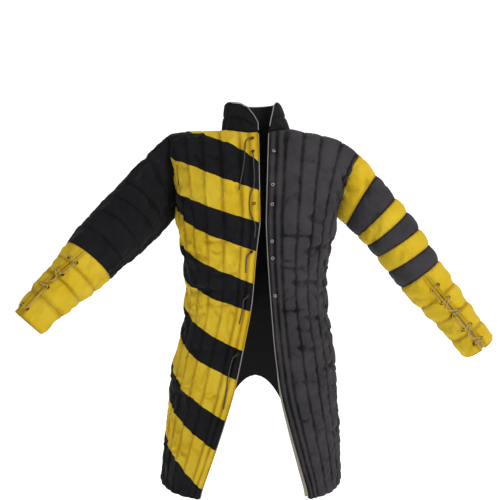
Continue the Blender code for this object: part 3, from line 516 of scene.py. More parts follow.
def worn_piece(name, bm, place, finishes):
    """Turns thickened flat cloth into the worn piece. place gives the outer and inner points of
    flat ones, and the cloth's own coordinates in metres: across, along, and off the stitching.
    The finishes are the outer cloth's and the lining's."""
    mesh = bpy.data.meshes.new(name)
    bm.to_mesh(mesh)
    bm.free()
    flat = np.empty(len(mesh.vertices) * 3)
    mesh.vertices.foreach_get("co", flat)
    flat = flat.reshape(-1, 3)
    corner_verts = np.empty(len(mesh.loops), int)
    mesh.loops.foreach_get("vertex_index", corner_verts)
    starts = np.empty(len(mesh.polygons), int)
    mesh.polygons.foreach_get("loop_start", starts)
    inside = np.maximum.reduceat(flat[corner_verts, 2], starts) < 0.5
    mesh.polygons.foreach_set("material_index", inside.astype(np.int32))
    outer, inner, cloth = place(flat[:, 0], flat[:, 1])
    worn = np.where(flat[:, 2:] > 0.5, outer, inner)
    mesh.vertices.foreach_set("co", worn.ravel())
    mark = mesh.attributes.new("cloth", "FLOAT_VECTOR", "POINT")
    mark.data.foreach_set("vector", cloth.ravel())
    mesh.update()
    shape = bmesh.new()
    shape.from_mesh(mesh)
    if shape.calc_volume(signed=True) < 0:
        bmesh.ops.reverse_faces(shape, faces=shape.faces)
        shape.to_mesh(mesh)
    shape.free()
    mesh.shade_smooth()
    mesh.set_sharp_from_angle(angle=math.radians(70))
    for finish in finishes:
        mesh.materials.append(finish)
    return coat_piece(name, mesh)


def padded_piece(name, node, bm, place, cotton):
    """A worn piece of padded, lined cotton, which takes the place of a node of the coat."""
    made = worn_piece(name, bm, place, (cotton, lining_cotton))
    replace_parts(made, node)


PUCKER_SPARE = 0.05       # spare cloth that the quilting draws up, as a share of its length
PADDING_PUSH = 3.0
SETTLING_FRAMES = 14


def settle(points, sewn, spare=PUCKER_SPARE, reach=0.006):
    """Lets a sheet of cloth that is sewn down along its stitching find its own puckers. The cloth
    has some spare length, and the padding pushes it out. It returns how far each point moved,
    which is the reach at most."""
    rows, count = points.shape[:2]
    bm = bmesh.new()
    bmesh.ops.create_grid(bm, x_segments=count - 1, y_segments=rows - 1, size=0.5)
    mesh = bpy.data.meshes.new("settling")
    bm.to_mesh(mesh)
    bm.free()
    flat = np.empty(len(mesh.vertices) * 3)
    mesh.vertices.foreach_get("co", flat)
    flat = flat.reshape(-1, 3)
    column = np.rint((flat[:, 0] + 0.5) * (count - 1)).astype(int)
    row = np.rint((flat[:, 1] + 0.5) * (rows - 1)).astype(int)
    start = points[row, column]
    ruffle = np.random.default_rng(7).normal(0.0, 0.0002, start.shape)
    ruffle[sewn[row, column]] = 0.0
    mesh.vertices.foreach_set("co", (start + ruffle).ravel())
    mesh.update()
    worn = put_in_scene("settling", mesh)
    held = worn.vertex_groups.new(name="sewn")
    held.add([int(index) for index in np.nonzero(sewn[row, column])[0]], 1.0, "REPLACE")
    cloth = worn.modifiers.new("cloth", "CLOTH")
    for setting, value in (("quality", 5), ("mass", 0.15), ("tension_stiffness", 12),
                           ("compression_stiffness", 12), ("shear_stiffness", 6),
                           ("bending_stiffness", 0.4), ("shrink_min", -spare),
                           ("vertex_group_mass", "sewn"), ("use_pressure", True),
                           ("uniform_pressure_force", PADDING_PUSH)):
        setattr(cloth.settings, setting, value)
    cloth.settings.effector_weights.gravity = 0.0
    cloth.collision_settings.use_collision = False
    cloth.point_cache.frame_end = SETTLING_FRAMES
    for number in range(1, SETTLING_FRAMES + 1):
        bpy.context.scene.frame_set(number)
    drawn = worn.evaluated_get(bpy.context.evaluated_depsgraph_get())
    shape = drawn.to_mesh()
    settled = np.empty(len(shape.vertices) * 3)
    shape.vertices.foreach_get("co", settled)
    drawn.to_mesh_clear()
    bpy.context.scene.frame_set(1)
    bpy.data.objects.remove(worn)
    bpy.data.meshes.remove(mesh)
    moved = np.zeros_like(points)
    moved[row, column] = settled.reshape(-1, 3) - start
    far = np.linalg.norm(moved, axis=-1, keepdims=True)
    return moved * np.minimum(1.0, reach / np.maximum(far, 1e-9))


def read_field(across, along, field, x, y):
    """Reads a grid of vectors at places between its points."""
    column = np.clip(np.searchsorted(across, x, side="right") - 1, 0, len(across) - 2)
    row = np.clip(np.searchsorted(along, y, side="right") - 1, 0, len(along) - 2)
    u = np.clip((x - across[column]) / (across[column + 1] - across[column]), 0, 1)[:, None]
    v = np.clip((y - along[row]) / (along[row + 1] - along[row]), 0, 1)[:, None]
    low = field[row, column] * (1 - u) + field[row, column + 1] * u
    high = field[row + 1, column] * (1 - u) + field[row + 1, column + 1] * u
    return low * (1 - v) + high * v


# Threads 1.6 mm apart, a wave's bands being 0.314 / scale apart. The real ones are about 0.5 mm
# apart, too fine to show.
WEAVE_SCALE = 196.0


def quilted_cotton(name, face, painted_hollow_shade, worn, thread):
    """Plain-woven cotton over padding: darker in the hollows along the stitching, which is painted
    shade, a little faded where it stands proud, with drawn-up cloth beside the stitches."""
    made, tree, shader, spot = new_material(name)
    cloth = add_node(tree, "Attribute", {"attribute_name": "cloth"}).outputs["Vector"]
    axes = add_node(tree, "SeparateXYZ", links={0: cloth}).outputs
    warp, weft = (add_node(tree, "TexWave", {"bands_direction": way, "Scale": WEAVE_SCALE},
                           {"Vector": cloth}) for way in "XY")
    weave = add_node(tree, "Math", {"operation": "MULTIPLY"},
                     {0: warp.outputs["Fac"], 1: weft.outputs["Fac"]})
    lint = add_node(tree, "TexNoise", {"Scale": 240.0, "Detail": 3.0}, {"Vector": spot})
    fading = add_node(tree, "TexNoise", {"Scale": 14.0, "Detail": 4.0, "Roughness": 0.6},
                      {"Vector": spot})
    faded = add_node(tree, "MapRange", {1: 0.42, 2: 0.68}, {0: fading.outputs["Fac"]})
    # The cloth stands fully proud 7.5 mm off the stitching; the painted shade of the hollows fades
    # out over this distance
    proud = add_node(tree, "MapRange", {"interpolation_type": "SMOOTHSTEP", 1: 0.0, 2: 0.0075},
                     {0: axes[2]}).outputs[0]
    # Small tucks that run off each line of stitches, about 9 mm apart
    drawn = add_node(tree, "Mapping", {"Scale": (22.0, 110.0, 1.0)}, {0: cloth})
    tucks = add_node(tree, "TexNoise", {"Scale": 1.0, "Detail": 2.0}, {"Vector": drawn.outputs[0]})
    near = add_node(tree, "Math", {"operation": "SUBTRACT", 0: 1.15}, {1: proud})
    tuck_rise = add_node(tree, "Math", {"operation": "MULTIPLY"},
                         {0: tucks.outputs["Fac"], 1: near.outputs[0]})
    # Stitches 5 mm long with 1.5 mm between them, drawn 1.2 mm wide so that they show
    pace = add_node(tree, "Math", {"operation": "MULTIPLY", 1: 154.0}, {0: axes[1]})
    beat = add_node(tree, "Math", {"operation": "FRACT"}, {0: pace.outputs[0]})
    dash = add_node(tree, "Math", {"operation": "LESS_THAN", 1: 0.77}, {0: beat.outputs[0]})
    on_line = add_node(tree, "Math", {"operation": "LESS_THAN", 1: 0.0006}, {0: axes[2]})
    stitch = add_node(tree, "Math", {"operation": "MULTIPLY"},
                      {0: dash.outputs[0], 1: on_line.outputs[0]})
    share = add_node(tree, "Math", {"operation": "MULTIPLY", 1: 0.55}, {0: faded.outputs[0]})
    # Painted shade: the hollow colour on the stitching, the face colour where the cloth stands
    # proud, with worn patches over it
    faded_over_shade = add_node(tree, "Mix", {"data_type": "RGBA", 7: linear(worn)},
                    {0: share.outputs[0], 6: tone_between(tree, painted_hollow_shade, face, proud)})
    sewn = add_node(tree, "Mix", {"data_type": "RGBA", 7: linear(thread)},
                    {0: stitch.outputs[0], 6: faded_over_shade.outputs[2]})
    # Heights in millimetres
    fine = add_node(tree, "Math", {"operation": "MULTIPLY_ADD", 1: 0.22},
                    {0: weave.outputs[0], 2: lint.outputs["Fac"]})
    relief = add_node(tree, "Math", {"operation": "MULTIPLY_ADD", 1: 1.5},
                      {0: tuck_rise.outputs[0], 2: fine.outputs[0]})
    finish_shader(tree, shader, sewn.outputs[2], relief.outputs[0], 0.001, 0.8, 0.88)
    for socket, value in (("Specular IOR Level", 0.16), ("Sheen Weight", 0.03),
                          ("Sheen Roughness", 0.5)):
        shader.inputs[socket].default_value = value
    return made


def plain_cotton(name, face, shade):
    """Plain-woven cotton, unpadded, matt and faintly slubbed."""
    made, tree, shader, spot = new_material(name)
    slub = add_node(tree, "Mapping", {"Scale": (1.0, 1.0, 0.16)}, {0: spot})
    streak = add_node(tree, "TexNoise", {"Scale": 320.0, "Detail": 2.0},
                      {"Vector": slub.outputs[0]}).outputs["Fac"]
    weave = add_node(tree, "TexWave", {"bands_direction": "Z", "Scale": WEAVE_SCALE},
                     {"Vector": spot})
    height = add_node(tree, "Math", {"operation": "ADD"}, {0: weave.outputs["Fac"], 1: streak})
    finish_shader(tree, shader, tone_between(tree, shade, face, streak), height.outputs[0],
                  0.0004, 0.5, 0.92)
    return made


# Dyed cotton: a strong mustard yellow, and a black in two copies: a deep black, and a lighter
# charcoal copy on the plain panels and the left sleeve, which is painted light. All three have
# painted shade in the hollows along the stitching.
black_quilting = quilted_cotton("black_quilted_cotton", "151418", "030304", "1F1E22", "0A090B")
lit_black_quilting = quilted_cotton("lit_copy_black_quilted_cotton", "38363A", "070708", "48464A",
                                   "141316")
yellow_quilting = quilted_cotton("yellow_quilted_cotton", "D6B422", "AE8810", "E4C840", "A8860F")
lining_cotton = plain_cotton("black_lining_cotton", "17161A", "0C0C0F")

# Creases of the worn coat, soft troughs with a low ridge beside them, in millimetres on the flat
# panel: from across, along, to across, along, then depth and half width
CREASES = {
    ("front", LEFT): (
        (12, 628, 120, 614, 3, 6), (60, 582, 215, 596, 3.5, 8), (15, 548, 95, 541, 2.5, 5),
        (30, 515, 190, 500, 3.5, 7), (110, 470, 235, 486, 3, 7), (10, 446, 105, 438, 3, 6),
        (50, 421, 170, 428, 2.5, 6), (20, 356, 140, 350, 2.5, 7), (100, 300, 225, 292, 2, 8),
        (15, 270, 80, 276, 2, 6), (176, 790, 222, 700, 4.5, 7), (150, 720, 205, 672, 4, 7),
        (160, 762, 212, 688, 3.5, 6), (186, 742, 236, 655, 4, 7), (70, 660, 170, 650, 2.5, 6),
        (40, 400, 120, 392, 2.5, 6), (130, 375, 225, 384, 2.5, 7), (45, 838, 24, 780, 3, 6),
        (120, 140, 220, 128, 2, 9)),
    ("front", RIGHT): (
        (30, 612, 130, 604, 2.5, 7), (90, 566, 225, 578, 3.5, 8), (20, 532, 110, 524, 2.5, 6),
        (60, 492, 210, 480, 3.5, 8), (25, 451, 120, 458, 2.5, 6), (130, 430, 235, 421, 3, 7),
        (40, 340, 150, 347, 2, 8), (110, 236, 205, 228, 2, 8), (178, 760, 218, 690, 4, 8),
        (150, 700, 210, 655, 3.5, 7)),
    ("back", LEFT): (
        (30, 610, 150, 600, 3, 8), (80, 560, 230, 552, 3.5, 8), (20, 515, 140, 522, 3.5, 7),
        (90, 470, 220, 478, 3, 8), (50, 428, 190, 419, 2.5, 7), (40, 300, 130, 308, 2, 8),
        (32, 740, 80, 690, 3.5, 8)),
    ("back", RIGHT): (
        (20, 600, 160, 608, 3, 8), (100, 548, 225, 556, 3.5, 8), (30, 508, 120, 500, 3.5, 7),
        (70, 462, 210, 470, 3, 8), (25, 415, 150, 424, 2.5, 7), (60, 262, 170, 256, 2, 8),
        (30, 720, 85, 680, 3.5, 8)),
}


# Short tucks across each channel, where the worn coat has slumped: their number in a channel
TUCKS = {("front", LEFT): 11, ("front", RIGHT): 5, ("back", LEFT): 6, ("back", RIGHT): 6}
TUCK_LEVELS = (0.10, 0.74)
CREASE_SHARPNESS = 2.1
CREASE_RISE = 0.0026      # the most that a crease's ridge stands up
CREASE_DEPTH = 0.0062     # and that its trough sinks
CREASES = {key: [tuple(value / 1000 for value in row) for row in rows]
           for key, rows in CREASES.items()}
slump = np.random.default_rng(7)
for (panel, side), count in TUCKS.items():
    lines = FRONT_LINES if panel == "front" else BACK_LINES
    for low, high in zip(lines[2:], lines[3:]):
        low, width = low * PANEL_WIDTH, (high - low) * PANEL_WIDTH
        levels = np.linspace(*TUCK_LEVELS, count) + slump.uniform(-0.022, 0.022, count)
        for level in levels:
            start, end = sorted(slump.uniform(0.02, 0.98, 2))
            if end - start < 0.55:
                start, end = 0.05, 0.85
            slant = slump.uniform(-0.028, 0.028)
            CREASES[panel, side].append((low + start * width, level, low + end * width,
                                         level + slant, slump.uniform(0.0012, 0.0028),
                                         slump.uniform(0.0036, 0.006)))


def eased(share):
    """A share from 0 to 1 that starts and ends slowly."""
    share = np.clip(share, 0.0, 1.0)
    return share * share * (3 - 2 * share)


def crease_depth(creases, x, y):
    """How far creased cloth lies below smooth cloth at places of the flat panel. Each crease
    wanders a little, fades at both ends, and has a ridge beside its trough."""
    depth = np.zeros_like(x)
    for from_x, from_y, to_x, to_y, deep, half in creases:
        along = np.array([to_x - from_x, to_y - from_y])
        long = np.linalg.norm(along)
        along /= long
        run = ((x - from_x) * along[0] + (y - from_y) * along[1]) / long
        off = (y - from_y) * along[0] - (x - from_x) * along[1]
        off += 0.35 * half * np.sin(run * 7.0 + deep * 4000)
        fade = eased(np.minimum(run, 1 - run) / 0.3)
        trough = np.exp(-(off / half) ** 2) - 0.45 * np.exp(-((off - 1.9 * half) / half) ** 2)
        depth += deep * fade * trough
    return depth


THREAD_ROOM = 0.001       # nearer than this, cloth may be drawn as thread


def shaded(off, sunk):
    """Distances off the stitching, drawn shorter in the creases, so that the painted shade of the
    hollows darkens the creases too.
    """
    deep = np.clip(sunk / 0.0065, 0.0, 0.7)
    return np.where(off > THREAD_ROOM, np.maximum(off * (1 - deep), THREAD_ROOM), off)


def panel_cloth(side, panel):
    """A body panel of quilted cloth: its flat cells, and the function that gives each flat place
    its worn one."""
    lines = FRONT_LINES if panel == "front" else BACK_LINES
    shares = crowded(lines, PANEL_WIDTH, CELL_ACROSS)
    ups = np.linspace(0.0, 1.0, round(CLOTH_HEIGHT / CELL_ALONG) + 1)

    def trimmed(share):
        return share * (1 - TRIM) if panel == "front" else TRIM + share * (1 - TRIM)

    def padded_points(share, height):
        at = body_point(side, panel, share, height)
        normal = body_normal(side, panel, share, height)
        high, off = channel(lines, share)
        to_edge = np.clip((column_height(side, panel, share) - height) / FADE, 0.0, 1.0)
        sunk = crease_depth(CREASES[panel, side], share * PANEL_WIDTH, height)
        sunk = np.clip(sunk * CREASE_SHARPNESS, -CREASE_RISE, CREASE_DEPTH)
        number = np.searchsorted(lines, share, side="right")
        # Uneven stuffing, in two waves along each channel, 170 mm and 70 mm long
        stuffed = (1 + 0.20 * np.sin(height * 37 + number * 2.1)
                   + 0.13 * np.sin(height * 89 + number * 4.7))
        rise = (BULGE * high * stuffed - sunk * (0.25 + 0.75 * high)) * to_edge
        return at, normal, rise, shaded(off * PANEL_WIDTH, sunk * to_edge)

    tops = column_height(side, panel, trimmed(shares))
    share_grid = np.tile(trimmed(shares), (len(ups), 1))
    at, normal, rise, off = padded_points(share_grid, ups[:, None] * tops[None, :])
    sewn = np.zeros(share_grid.shape, bool)
    sewn[:, on_lines(shares, lines)] = True
    sewn[[0, -1], :] = True
    moved = settle(at + normal * rise[..., None], sewn)
    if panel == "front":
        # The faced front edge lies flat
        moved = moved * np.clip((shares - 0.04) / 0.12, 0.2, 1.0)[None, :, None]

    def place(x, y):
        share = np.clip(x / PANEL_WIDTH, 0.0, 1.0)
        at, normal, rise, off = padded_points(share, y)
        up = y / column_height(side, panel, share)
        puckered = read_field(trimmed(shares), ups, moved, share, up)
        cloth = np.stack([x, y, off], axis=-1)
        outer, inner = at + normal * rise[:, None] + puckered, at - normal * WALL
        if panel == "back":
            # Sewn edge to edge down the middle, so that no light shows between the halves
            joined = (share > 1 - 1e-6) & (y > VENT_TOP - HEM_Z)
            outer[joined, 0] = inner[joined, 0] = 0.0
        return outer, inner, cloth

    bm = flat_cloth(trimmed(shares), ups)
    for vert in bm.verts:
        top = tops[np.argmin(np.abs(trimmed(shares) - vert.co.x))]
        vert.co = (vert.co.x * PANEL_WIDTH, vert.co.y * top, 0.0)
    return bm, place


def cut_band(flat, low_seam, high_seam):
    """A band of flat cloth between two seam lines, half a seam's space clear of each."""
    band = flat.copy()
    for seam, keep_above in ((low_seam, True), (high_seam, False)):
        if seam is None:
            continue
        along = Vector((PANEL_WIDTH, seam[1] - seam[0], 0.0)).normalized()
        up = Vector((-along.y, along.x, 0.0))
        shift = SEAM / 2 if keep_above else -SEAM / 2
        bmesh.ops.bisect_plane(
            band, geom=band.verts[:] + band.edges[:] + band.faces[:], dist=1e-5,
            plane_co=Vector((0.0, seam[0] + shift, 0.0)), plane_no=up,
            clear_inner=keep_above, clear_outer=not keep_above)
    return band


flat_front, place_front = panel_cloth(RIGHT, "front")
seams = [None, *BAND_SEAMS, None]
for number, (high_seam, low_seam) in enumerate(zip(seams, seams[1:]), start=1):
    padded_piece(f"quilted_right_band_{number:02d}", f"right_front_band_{number:02d}",
                 thicken(cut_band(flat_front, low_seam, high_seam)), place_front,
                 yellow_quilting if number % 2 else black_quilting)
flat_front.free()

# The plain panels take the lighter charcoal copy of the black: painted light
for node, side, panel in (("left_front", LEFT, "front"), ("back_right", RIGHT, "back"),
                          ("back_left", LEFT, "back")):
    flat_panel, place_panel = panel_cloth(side, panel)
    padded_piece(f"quilted_{node}", node, thicken(flat_panel), place_panel,
                 lit_black_quilting)


# Upper sleeves: tubes of the same quilted cotton, sewn along the underarm and set into the
# armholes, with the stitching in rings. The wearer's right one is black; the left one is pieced
# from six rings of cloth, yellow and black in turn.
SLEEVE_WALL = 0.006
SLEEVE_BULGE = 0.0032
RIGHT_SLEEVE = (
    # share of the length, x, y, z, radius
    (0.28, -0.296, -0.030, -0.199, 0.079),
    (0.48, -0.342, -0.070, -0.252, 0.0755),
    (0.60, -0.376, -0.090, -0.283, 0.070),
    (0.70, -0.401, -0.105, -0.3155, 0.066),
    (0.79, -0.426, -0.125, -0.344, 0.059),
    (0.86, -0.455, -0.140, -0.372, 0.052),
    (0.93, -0.484, -0.165, -0.406, 0.046),
    (1.00, -0.530, -0.190, -0.457, 0.037),
)
LEFT_SLEEVE = (
    # share of the length, x, y, z, radius
    (0.25, 0.314, -0.002, -0.223, 0.064),
    (0.37, 0.348, -0.004, -0.2615, 0.062),
    (0.48, 0.376, -0.008, -0.303, 0.060),
    (0.62, 0.4125, -0.014, -0.356, 0.056),
    (0.81, 0.4865, -0.026, -0.445, 0.046),
    (1.00, 0.564, -0.040, -0.544, 0.039),
)
SLEEVE_LENGTH = 0.56      # cloth from the shoulder point to the wrist
RIGHT_CUFF_SHARE = 0.70
LEFT_CUFF_SHARE = 0.62
UPPER_CHANNELS = 6
ARM_CELLS = 130
ARM_CELL_ALONG = 0.0040
# Places round an arm are sixteenths of a turn: 8 and 24 are the underarm seam, 12 is the back, 16
# the shoulder and 20 the front. Each takes 28 mm of cloth.
TURN_CLOTH = 0.028
SEAM_TURN = 0.006
BAND_EDGE = 0.0008        # share of the length that is left free at a ring's upper seam
# Drag folds: place round the arm and share of its length, twice, then depth and half width in
# metres
SLEEVE_FOLDS = {
    RIGHT: ((18.2, 0.06, 20.6, 0.20, 0.0055, 0.012), (19.4, 0.13, 21.8, 0.34, 0.0060, 0.013),
            (17.0, 0.10, 18.6, 0.26, 0.0040, 0.011), (20.8, 0.30, 22.6, 0.46, 0.0045, 0.012),
            (18.4, 0.40, 21.0, 0.44, 0.0035, 0.010), (19.2, 0.52, 21.9, 0.57, 0.0035, 0.010),
            (12.0, 0.12, 9.6, 0.30, 0.0050, 0.013), (10.8, 0.36, 13.4, 0.42, 0.0040, 0.011),
            (11.6, 0.52, 14.0, 0.57, 0.0035, 0.010)),
    LEFT: ((17.6, 0.04, 19.8, 0.17, 0.0045, 0.011), (19.0, 0.10, 21.6, 0.26, 0.0050, 0.012),
           (20.2, 0.22, 22.8, 0.33, 0.0040, 0.011), (18.2, 0.33, 20.4, 0.37, 0.0030, 0.010),
           (19.6, 0.44, 21.8, 0.48, 0.0030, 0.010), (12.4, 0.10, 9.8, 0.26, 0.0045, 0.012),
           (10.6, 0.32, 13.2, 0.37, 0.0035, 0.010), (11.8, 0.46, 14.2, 0.50, 0.0030, 0.010)),
}


def arm_axes(rows, share):
    """Middle, radius, and the ways to the top and the front of a sleeve along its length."""
    def middle(at):
        return np.stack([read_smooth(rows, at, column) for column in (1, 2, 3)], axis=-1)
    ahead = unit(middle(np.minimum(share + 0.04, 1.0))
                 - middle(np.maximum(share - 0.04, rows[0][0])))
    front = unit(np.array([0.0, -1.0, 0.0]) - ahead * -ahead[..., 1:2])
    top = unit(np.cross(front, ahead))
    top = top * np.where(top[..., 2:] < 0, -1, 1)
    return middle(share), read_smooth(rows, share, 4), top, front


def arm_point(rows, share, turn, off):
    """Points of a round sleeve: turn runs from the top to the front, off is outwards."""
    middle, radius, top, front = arm_axes(rows, share)
    way = top * np.cos(turn)[..., None] + front * np.sin(turn)[..., None]
    return middle + way * (radius + off)[..., None]


def armhole_edge(side, place):
    """The armhole's outer and inner edge, by the place round the arm: 8 is the side seam, 16 the
    shoulder, reached over the back, and 24 the side seam again."""
    back = np.clip(TRIM + 0.035 * (place - 8) * (1 - TRIM), 0.0, 1.0)
    front = np.clip((TIP_FRONT + 0.035 * (place - 16)) * (1 - TRIM), 0.0, 1.0)
    edges = []
    for panel, share in (("back", back), ("front", front)):
        height = column_height(side, panel, share)
        at = body_point(side, panel, share, height)
        edges.append((at, at - body_normal(side, panel, share, height) * WALL))
    on_back = (place <= 16)[:, None]
    outer = np.where(on_back, edges[0][0], edges[1][0])
    inner = np.where(on_back, edges[0][1], edges[1][1])
    along = np.roll(outer, -1, axis=0) - np.roll(outer, 1, axis=0)
    move = pointing(unit(np.cross(along, outer - inner)), outer.mean(axis=0) - outer)
    return outer + move * SEAM_ROOM, inner + move * SEAM_ROOM


def sleeve_cloth(side, rows, end):
    """A whole upper sleeve: places round it, shares along it, and the fields of its outer points,
    its inner points and the cloth's own coordinates."""
    lines = np.linspace(0.0, end, UPPER_CHANNELS + 1)
    around = np.linspace(8.0, 24.0, ARM_CELLS + 1)
    along = crowded(tuple(lines), SLEEVE_LENGTH, ARM_CELL_ALONG)
    place, share = np.meshgrid(around, along)
    edge_outer, edge_inner = armhole_edge(side, around)
    turn = place * 2 * math.pi / 16
    base = arm_point(rows, np.maximum(share, rows[0][0]), turn, np.zeros_like(share))
    # Above the first row of its table the sleeve runs over into the armhole
    run = share / rows[0][0]
    lead = (run * run * (3 - 2 * run) * 0.35 + run * 0.65)[..., None]
    base = np.where(run[..., None] < 1, edge_outer[None] + (base - edge_outer[None]) * lead, base)
    normal = unit(np.cross(np.gradient(base, axis=1), np.gradient(base, axis=0)))
    normal[:, 0] = normal[:, -1] = unit(normal[:, 0] + normal[:, -1])
    normal = pointing(normal, base - base.mean(axis=1, keepdims=True))
    high, off = channel(tuple(lines), share)
    folds = [(turn_1 * TURN_CLOTH, share_1 * SLEEVE_LENGTH, turn_2 * TURN_CLOTH,
              share_2 * SLEEVE_LENGTH, deep, half)
             for turn_1, share_1, turn_2, share_2, deep, half in SLEEVE_FOLDS[side]]
    sunk = crease_depth(folds, place * TURN_CLOTH, share * SLEEVE_LENGTH)
    sunk = np.clip(sunk * CREASE_SHARPNESS * 0.6, -0.003, SLEEVE_WALL - 0.002)
    open_seam = np.clip(np.minimum(place - 8, 24 - place) / 0.5, 0.0, 1.0)
    fold_drop = sunk * (0.3 + 0.7 * high) * np.clip(share / 0.03, 0, 1)
    outer = base + normal * ((SLEEVE_BULGE * high - fold_drop) * open_seam)[..., None]
    sewn = np.zeros(share.shape, bool)
    sewn[on_lines(along, lines)] = True
    sewn[:, [0, -1]] = True
    outer = outer + settle(outer, sewn)
    inner = np.where(run[..., None] < 1, base - normal * SLEEVE_WALL,
                     arm_point(rows, np.maximum(share, rows[0][0]), turn,
                               np.full_like(share, -SLEEVE_WALL)))
    start = np.clip(share / 0.02, 0.0, 1.0)[..., None]
    inner = edge_inner[None] * (1 - start) + inner * start
    cloth = np.stack([share * SLEEVE_LENGTH, place * TURN_CLOTH,
                      shaded(off * SLEEVE_LENGTH, sunk)], axis=-1)
    return around, along, lines, outer, inner, cloth


def sleeve_piece(name, node, cloth_of, low, high, yellow, black):
    """A stretch of sleeve between two shares of its length, yellow or in the black cotton."""
    around, along, _, outer, inner, cloth = cloth_of
    rows = along[(along > low + 1e-6) & (along < high + 1e-6)]
    rows = np.array([low + (BAND_EDGE if low > 0 else 0.0), *rows])
    ends = np.array([around[0] + SEAM_TURN, *around[1:-1], around[-1] - SEAM_TURN])

    def place(x, y):
        return tuple(read_field(around, along, field, x, y) for field in (outer, inner, cloth))
    padded_piece(name, node,
                 thicken(flat_cloth(ends, rows)), place, yellow_quilting if yellow else black)


sleeve_piece("quilted_right_sleeve", "right_sleeve_upper",
             sleeve_cloth(RIGHT, RIGHT_SLEEVE, RIGHT_CUFF_SHARE), 0.0, RIGHT_CUFF_SHARE,
             False, black_quilting)
left_sleeve = sleeve_cloth(LEFT, LEFT_SLEEVE, LEFT_CUFF_SHARE)
# The left sleeve's black rings take the lighter charcoal copy of the black: painted light
for number, (low, high) in enumerate(zip(left_sleeve[2], left_sleeve[2][1:]), start=1):
    sleeve_piece(f"quilted_left_sleeve_band_{number}", f"left_sleeve_band_{number}", left_sleeve,
                 low, high, number % 2 == 1, lit_black_quilting)


# Cuffs: forearm tubes of yellow quilted cotton, stitched in rings and open along a slit that is
# laced shut. A strip of cream cotton is sewn behind each slit.
CUFFS = (
    {"side": "right", "rows": RIGHT_SLEEVE, "start": RIGHT_CUFF_SHARE, "length": 0.52,
     "slit_top": math.radians(77), "slit_end": math.radians(48),
     "pairs": 4, "first_pair": 0.775, "pair_step": 0.065, "strip": 0.179},
    {"side": "left", "rows": LEFT_SLEEVE, "start": LEFT_CUFF_SHARE, "length": 0.50,
     "slit_top": math.radians(90), "slit_end": math.radians(86),
     "pairs": 5, "first_pair": 0.69, "pair_step": 0.066, "strip": 0.205},
)
SLIT_TOP_GAP = 0.001
SLIT_END_GAP = 0.009
LACE_HALF = 0.011         # from the slit's middle to an eyelet, round the forearm
EDGE_STITCHING = 0.005    # from the slit's edge
CUFF_CELLS = 104
CUFF_CELL_ALONG = 0.0036
CUFF_ROUND = 0.3          # cloth round a cuff
STRIP_HALF = 0.016
STRIP_WALL = 0.0014
STRIP_UNDER = 0.0008      # from the cuff's lining to the strip
CUFF_LINES = (0.0, 0.30, 0.535, 0.77, 1.0)


def slit_turn(cuff, share):
    """Where the slit's middle lies round the forearm; it winds a little towards the front."""
    along = (share - cuff["start"]) / (1 - cuff["start"])
    return cuff["slit_top"] + (cuff["slit_end"] - cuff["slit_top"]) * along


def cuff_cloth(cuff):
    """The cuff's flat cells and the function that gives each flat place its worn one."""
    start = cuff["start"] + SEAM / cuff["length"]
    deep = (1 - start) * cuff["length"]
    around = np.linspace(0.0, 1.0, CUFF_CELLS + 1)
    along = crowded(CUFF_LINES, deep, CUFF_CELL_ALONG)

    def padded_points(x, y):
        share = start + (1 - start) * y
        radius = read_smooth(cuff["rows"], share, 4)
        half_gap = (SLIT_TOP_GAP + (SLIT_END_GAP - SLIT_TOP_GAP) * y) / 2 / radius
        turn = slit_turn(cuff, share) + half_gap + (2 * math.pi - 2 * half_gap) * x
        high, off = channel(CUFF_LINES, y)
        to_slit = np.minimum(x, 1 - x) * 2 * math.pi * radius
        hem = np.clip(to_slit / (2 * EDGE_STITCHING), 0.15, 1.0)
        uneven = 0.0016 * np.sin(x * 41 + y * 9) * np.sin(x * 17 - y * 23)
        rise = SLEEVE_BULGE * high * hem + uneven * high * hem
        off = np.minimum(off * deep, np.abs(to_slit - EDGE_STITCHING) + 0.0004)
        return share, turn, rise, off

    x, y = np.meshgrid(around, along)
    share, turn, rise, _ = padded_points(x, y)
    sewn = np.zeros(x.shape, bool)
    sewn[on_lines(along, CUFF_LINES)] = True
    sewn[:, [0, 1, 2, -3, -2, -1]] = True
    moved = settle(arm_point(cuff["rows"], share, turn, rise), sewn)

    def place(x, y):
        share, turn, rise, off = padded_points(x, y)
        outer = arm_point(cuff["rows"], share, turn, rise) + read_field(around, along, moved, x, y)
        inner = arm_point(cuff["rows"], share, turn, np.full_like(share, -SLEEVE_WALL))
        return outer, inner, np.stack([y * deep, x * CUFF_ROUND, off], axis=-1)
    return flat_cloth(around, along), place


# Undyed cotton, creamy and matt
cream_cotton = plain_cotton("undyed_cotton", "D8D0B8", "B8AE92")
for cuff in CUFFS:
    flat_cuff, place_cuff = cuff_cloth(cuff)
    padded_piece(f"quilted_{cuff['side']}_cuff", f"{cuff['side']}_cuff",
                 thicken(flat_cuff), place_cuff, yellow_quilting)

    def place_strip(x, y):
        share = cuff["start"] + (1 - cuff["start"]) * (0.012 + 0.973 * y)
        radius = read_smooth(cuff["rows"], share, 4)
        turn = slit_turn(cuff, share) + (2 * x - 1) * STRIP_HALF / radius
        under = np.full_like(x, -SLEEVE_WALL - STRIP_UNDER)
        outer = arm_point(cuff["rows"], share, turn, under)
        inner = arm_point(cuff["rows"], share, turn, under - STRIP_WALL)
        return outer, inner, np.stack([x * 0.03, y * 0.16, x * 0 + 0.01], axis=-1)

    made = worn_piece(f"{cuff['side']}_slit_strip",
                      thicken(flat_cloth(np.linspace(0, 1, 9), np.linspace(0, 1, 41))),
                      place_strip, (cream_cotton, cream_cotton))
    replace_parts(made, f"{cuff['side']}_cuff_facing")


